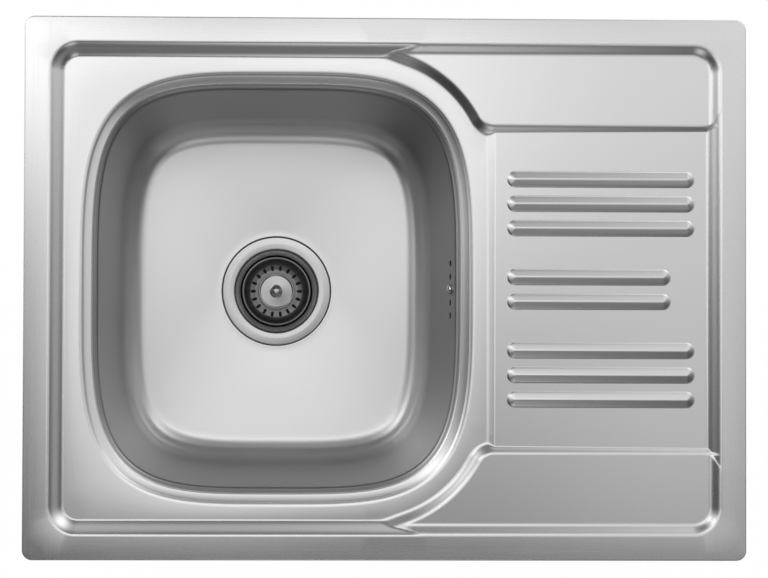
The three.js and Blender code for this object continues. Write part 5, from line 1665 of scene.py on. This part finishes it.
@dataclass
class RimFixings:
    """The seal, the four rails and the six clips under the rim."""

    seal_height: float = 2.7
    web: float = 13.0
    foot: float = 14.0
    depth: float = 15.7
    rail_long: float = 520.0
    rail_short: float = 380.0
    slot_pitch: float = 40.0
    screw_inset: float = 34.0
    clip_width: float = 16.0
    clip_sheet: float = 1.5
    clip_hole: float = 2.8
    clip_reach: float = 43.0

    @property
    def foot_z(self) -> float:
        """Height of the rails' lowest face."""
        return self.seal_height - self.depth

    @staticmethod
    def standing(profile: list[tuple[float, float]], half: float) -> bmesh.types.BMesh:
        """Extrudes a profile of (inwards, up) points along X."""
        return moved(prism(profile, -half, half), Z_TO_X)

    def rail(self, length: float) -> bmesh.types.BMesh:
        """Builds one folded rail with its slots."""
        web, low, high = self.web, self.foot_z, self.seal_height
        toe, flange = web + self.foot, web + 7.5
        profile = [
            (web, low, 1.6), (toe, low, 0.2), (toe, low + 1, 0.2),
            (web + 1, low + 1, 0.6), (web + 1, high - 1, 0.6), (flange, high - 1, 0.2),
            (flange, high, 0.2), (web, high, 1.6),
        ]
        bar = self.standing(rounded_profile(profile, 4), length / 2)
        count = int(length // self.slot_pitch)
        corners = [(-7, -2.5, 2.5), (7, -2.5, 2.5), (7, 2.5, 2.5), (-7, 2.5, 2.5)]
        outline = rounded_profile(corners, 5)
        slots = []
        for k in range(count):
            x = (k - (count - 1) / 2) * self.slot_pitch
            at = placed(x, web + 0.5, (low + high) / 2) @ spun(90, "X")
            slots.append(moved(prism(outline, -4, 4), at))
        return carved(bar, joined(*slots))

    def bracket(self) -> bmesh.types.BMesh:
        """Builds one clip's bracket, which grips the rail's foot."""
        grip, top = self.web + self.foot + 0.3, self.foot_z + 1.3
        low, t = self.foot_z - 0.3, self.clip_sheet
        half = self.clip_width / 2
        start, end = self.web + 4, self.screw_inset + half
        profile = [
            (start, low - t, 0.3), (end, low - t, 0.3), (end, low, 0.3), (grip + t, low, 0.3),
            (grip + t, top + t, 1.2), (grip - 6, top + t, 0.4), (grip - 6, top, 0.2),
            (grip, top, 0.2), (grip, low, 0.2), (start, low, 0.3),
        ]
        bar = self.standing(rounded_profile(profile, 3), half)
        return carved(bar, rod(self.clip_hole, 8, placed(0, self.screw_inset, low)))

    def screw(self) -> bmesh.types.BMesh:
        """Builds one clip's screw with its thread and slotted head."""
        top = self.foot_z
        head = top - 0.3 - self.clip_reach
        corners = [
            (0, head - 4, 0), (4.2, head - 4, 0.8), (5, head - 3, 0.6), (5, head, 0.4),
            (2.5, head, 0.2),
        ]
        z = head + 3
        while z < top - 4:
            corners += [(2.5, z, 0), (2.05, z + 0.4, 0), (2.5, z + 0.8, 0)]
            z += 0.9
        corners += [(2.5, top, 0), (4.1, top, 0.3), (4.1, top + 1.8, 0.5), (0, top + 2.6, 0)]
        body = turned(rounded_profile(corners, 3, closed=False), 28)
        return carved(body, block((14, 1.2, 3), head - 3.9))

    def jaw(self) -> bmesh.types.BMesh:
        """Builds one clip's jaw along +X with its claws turned up."""
        base = self.foot_z - self.clip_reach
        profile = [
            (-7, 0, 1.0), (7, 0, 3.0), (44, 5.5, 3.0), (47, 9, 0.3), (45.4, 9, 0.3), (43.6, 7, 0.3),
            (42.2, 8.8, 0.3), (39.8, 6.4, 0.6), (9, 2.6, 2.0), (7, 5, 0.6), (-7, 5, 1.0),
        ]
        outline = rounded_profile(profile, 4)
        bar = moved(prism(outline, -6, 6), placed(0, 0, base) @ spun(90, "X"))
        bar = carved(bar, rod(self.clip_hole, 14, placed(0, 0, base + 3)))
        soften(bar, 0.35, 50, 2)
        return bar

    def seal(self) -> bmesh.types.BMesh:
        """Builds the foam strip round the rim."""
        outer = rounded_rectangle(RIM_LENGTH, RIM_WIDTH, RIM_CORNER, 12, 20.0)
        places = (
            (2.6, 0.3), (2.6, 1.7), (2.8, 1.95), (8.4, 2.15),
            (8.6, 1.9), (8.6, 0.3), (8.4, 0.0), (2.8, 0.0),
        )
        level = np.ones(len(outer))
        return draped([np.column_stack([offset(outer, inset), level * z]) for inset, z in places])

    def build(self, shop: Workshop) -> None:
        """Builds and dresses the seal, rails and clips."""
        shop.piece("rim_foam_seal", self.seal(), "seal foam", replaces=("rim_seal",))
        clips = {
            Side.FRONT: [("front_1", -180.0, 0.0), ("front_2", 170.0, 0.0)],
            Side.BACK: [("back_1", 180.0, 180.0), ("back_2", -170.0, 180.0)],
            Side.LEFT: [("left", 0.0, 180.0)],
            Side.RIGHT: [("right", 0.0, 180.0)],
        }
        for side, here in clips.items():
            name = side.name.lower()
            length = self.rail_long if side in (Side.FRONT, Side.BACK) else self.rail_short
            shop.piece(f"rail_{name}", self.rail(length), "zinc plate",
                       replaces=(f"rim_rail_{name}",), matrix=side.matrix())
            for label, x, turn in here:
                at = side.matrix() @ placed(x, 0, 0)
                pivot = at @ placed(0, self.screw_inset, 0)
                shop.piece(f"bracket_{label}", self.bracket(), "zinc plate",
                           replaces=(f"clip_bracket_{label}",), matrix=at)
                shop.piece(f"screw_{label}", self.screw(), "zinc plate",
                           f"clip_{label}", (f"clip_screw_{label}",), matrix=pivot)
                shop.piece(f"claw_{label}", self.jaw(), "zinc plate",
                           f"jaw_{label}", (f"clip_jaw_{label}",), matrix=pivot @ spun(turn))


# ---- studio ----------------------------------------------------------------------------------


@dataclass(frozen=True)
class Lobe:
    """A soft round patch of light on the dome, with its angles in degrees.

    The azimuth runs from +X to +Y, and the tilt is measured from straight overhead.
    """

    name: str
    azimuth: float
    tilt: float
    spread: float
    strength: float

    def glow(self, sheet: Sheet, toward: bpy.types.NodeSocket) -> bpy.types.NodeSocket:
        """Its light in a direction, which fades evenly away from its middle."""
        tilt, azimuth = math.radians(self.tilt), math.radians(self.azimuth)
        low, high = math.sin(tilt), math.cos(tilt)
        middle = (low * math.cos(azimuth), low * math.sin(azimuth), high)
        beside = sheet.add("VectorMath", {"operation": "DOT_PRODUCT"}, i0=toward, i1=middle)
        away = sheet.math("DEGREES", sheet.math("ARCCOSINE", beside.outputs["Value"]))
        share = sheet.math("POWER", sheet.math("DIVIDE", away, self.spread), 2.0)
        fade = sheet.math("EXPONENT", sheet.math("MULTIPLY", share, -1.0))
        light = sheet.math("MULTIPLY", fade, self.strength)
        light.node.label = self.name
        return light


@dataclass
class Studio:
    """Camera, floor and soft light.

    The eye and floor_z are in millimetres, turn in degrees and floor_half in metres. The horizon
    is a low band of light, given by its level and its change along X and Y. It starts at the
    height band_top and is full below band_full, as parts of the dome's radius.
    """

    eye: tuple[float, float, float] = (-99.7, -15.7, 853.1)
    turn: tuple[float, float, float] = (0.563, -0.613, 0.212)
    lens: float = 45.18
    shift: tuple[float, float] = (0.1307, 0.0097)
    floor_z: float = -242.5
    lobes: tuple[Lobe, ...] = (
        Lobe("overhead", 211.0, 7.0, 10.0, 1.20),
        Lobe("back near", 71.0, 15.0, 12.0, 1.59),
        Lobe("back left near", 136.0, 25.0, 9.0, 2.43),
        Lobe("back right near", 28.0, 35.0, 14.0, 0.83),
        Lobe("right near", 344.0, 25.0, 12.0, 0.75),
        Lobe("front near", 276.0, 42.0, 12.0, 1.08),
        Lobe("back left low", 148.0, 69.0, 24.0, 2.23),
        Lobe("back right low", 46.0, 69.0, 25.0, 1.33),
    )
    horizon: tuple[float, float, float] = (0.33, 0.06, 0.13)
    band_top: float = 0.7
    band_full: float = 0.2
    least_light: float = 0.005
    floor_half: float = 12.0
    floor_glow: float = 1.05
    floor_share: float = 0.92

    def camera(self) -> None:
        """Makes the camera over the sink."""
        data = bpy.data.cameras.new("camera")
        data.lens = self.lens
        data.sensor_width = 36.0
        data.shift_x, data.shift_y = self.shift
        data.clip_start, data.clip_end = 0.01, 50.0
        eye = bpy.data.objects.new("camera", data)
        eye.location = Vector(self.eye) * MM
        eye.rotation_euler = [math.radians(a) for a in self.turn]
        bpy.context.scene.collection.objects.link(eye)
        bpy.context.scene.camera = eye

    def floor(self) -> None:
        """Lays the pale floor, which looks white to the camera and keeps a faint shadow."""
        bm = bmesh.new()
        bmesh.ops.create_grid(bm, x_segments=1, y_segments=1, size=self.floor_half)
        mesh = bpy.data.meshes.new("floor")
        bm.to_mesh(mesh)
        bm.free()
        for vert in mesh.vertices:
            vert.co.z = self.floor_z * MM
        thing = bpy.data.objects.new("floor", mesh)
        bpy.context.scene.collection.objects.link(thing)
        material = bpy.data.materials.new("studio floor")
        material.use_nodes = True
        sheet = Sheet(material.node_tree)
        diffuse = sheet.add("BsdfDiffuse", Color=(0.8, 0.8, 0.8, 1))
        glow = sheet.add("Emission", Color=(1, 1, 1, 1), Strength=self.floor_glow)
        rays = sheet.add("LightPath")
        part = sheet.math("MULTIPLY", rays.outputs["Is Camera Ray"], self.floor_share)
        both = sheet.add("MixShader", i0=part, i1=diffuse.outputs[0], i2=glow.outputs[0])
        out = sheet.add("OutputMaterial")
        sheet.tree.links.new(both.outputs[0], out.inputs[0])
        mesh.materials.append(material)

    def light(self) -> None:
        """Fills the dome with soft patches of light over a low band."""
        world = bpy.data.worlds.new("studio dome")
        bpy.context.scene.world = world
        world.use_nodes = True
        sheet = Sheet(world.node_tree)
        toward = sheet.add("TexCoord").outputs["Generated"]
        x, y, z = sheet.add("SeparateXYZ", Vector=toward).outputs
        low = sheet.add(
            "MapRange", {"interpolation_type": "SMOOTHSTEP"}, Value=z,
            From_Min=self.band_top, From_Max=self.band_full, To_Min=0.02, To_Max=1.0,
        )
        total = sheet.math("MULTIPLY", self.plane(sheet, x, y), low.outputs[0])
        for lobe in self.lobes:
            total = sheet.math("ADD", total, lobe.glow(sheet, toward))
        above = sheet.add("MapRange", Value=z, From_Min=-0.02, From_Max=0.02)
        total = sheet.math("MULTIPLY", total, above.outputs[0])
        rays = sheet.add("LightPath")
        lit = sheet.add("Background", Color=(1, 1, 1, 1), Strength=total)
        seen = sheet.add("Background", Color=(1, 1, 1, 1), Strength=1.0)
        direct = rays.outputs["Is Camera Ray"]
        both = sheet.add("MixShader", i0=direct, i1=lit.outputs[0], i2=seen.outputs[0])
        out = sheet.add("OutputWorld")
        sheet.tree.links.new(both.outputs[0], out.inputs[0])

    def plane(
        self, sheet: Sheet, x: bpy.types.NodeSocket, y: bpy.types.NodeSocket
    ) -> bpy.types.NodeSocket:
        """Strength of the low band, which changes evenly with the direction."""
        level, by_x, by_y = self.horizon
        part = sheet.math("ADD", sheet.math("MULTIPLY", x, by_x), sheet.math("MULTIPLY", y, by_y))
        return sheet.math("MAXIMUM", sheet.math("ADD", part, level), self.least_light)

    def build(self) -> None:
        """Sets up the whole studio."""
        bpy.context.scene.view_settings.view_transform = "Standard"
        self.camera()
        self.floor()
        self.light()


def main() -> None:
    """Builds the dressed sink, sub-assembly by sub-assembly."""
    logging.basicConfig(level=logging.INFO, format="%(name)s %(message)s")
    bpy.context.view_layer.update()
    Studio().build()
    shop = Workshop(Finishes())
    deck = Deck()
    bowl = Bowl(ledge_drop=float(deck.ledge_fall(np.array(deck.ledge_width))))
    deck.build(shop)
    bowl.build(shop)
    Waste().build(shop)
    Basket().build(shop)
    Overflow().build(shop, bowl)
    RimFixings().build(shop)
    shop.dress("sound_pad", "pad bitumen")
    LOG.info("%d pieces", len(shop.made))


if __name__ == "__main__":
    main()
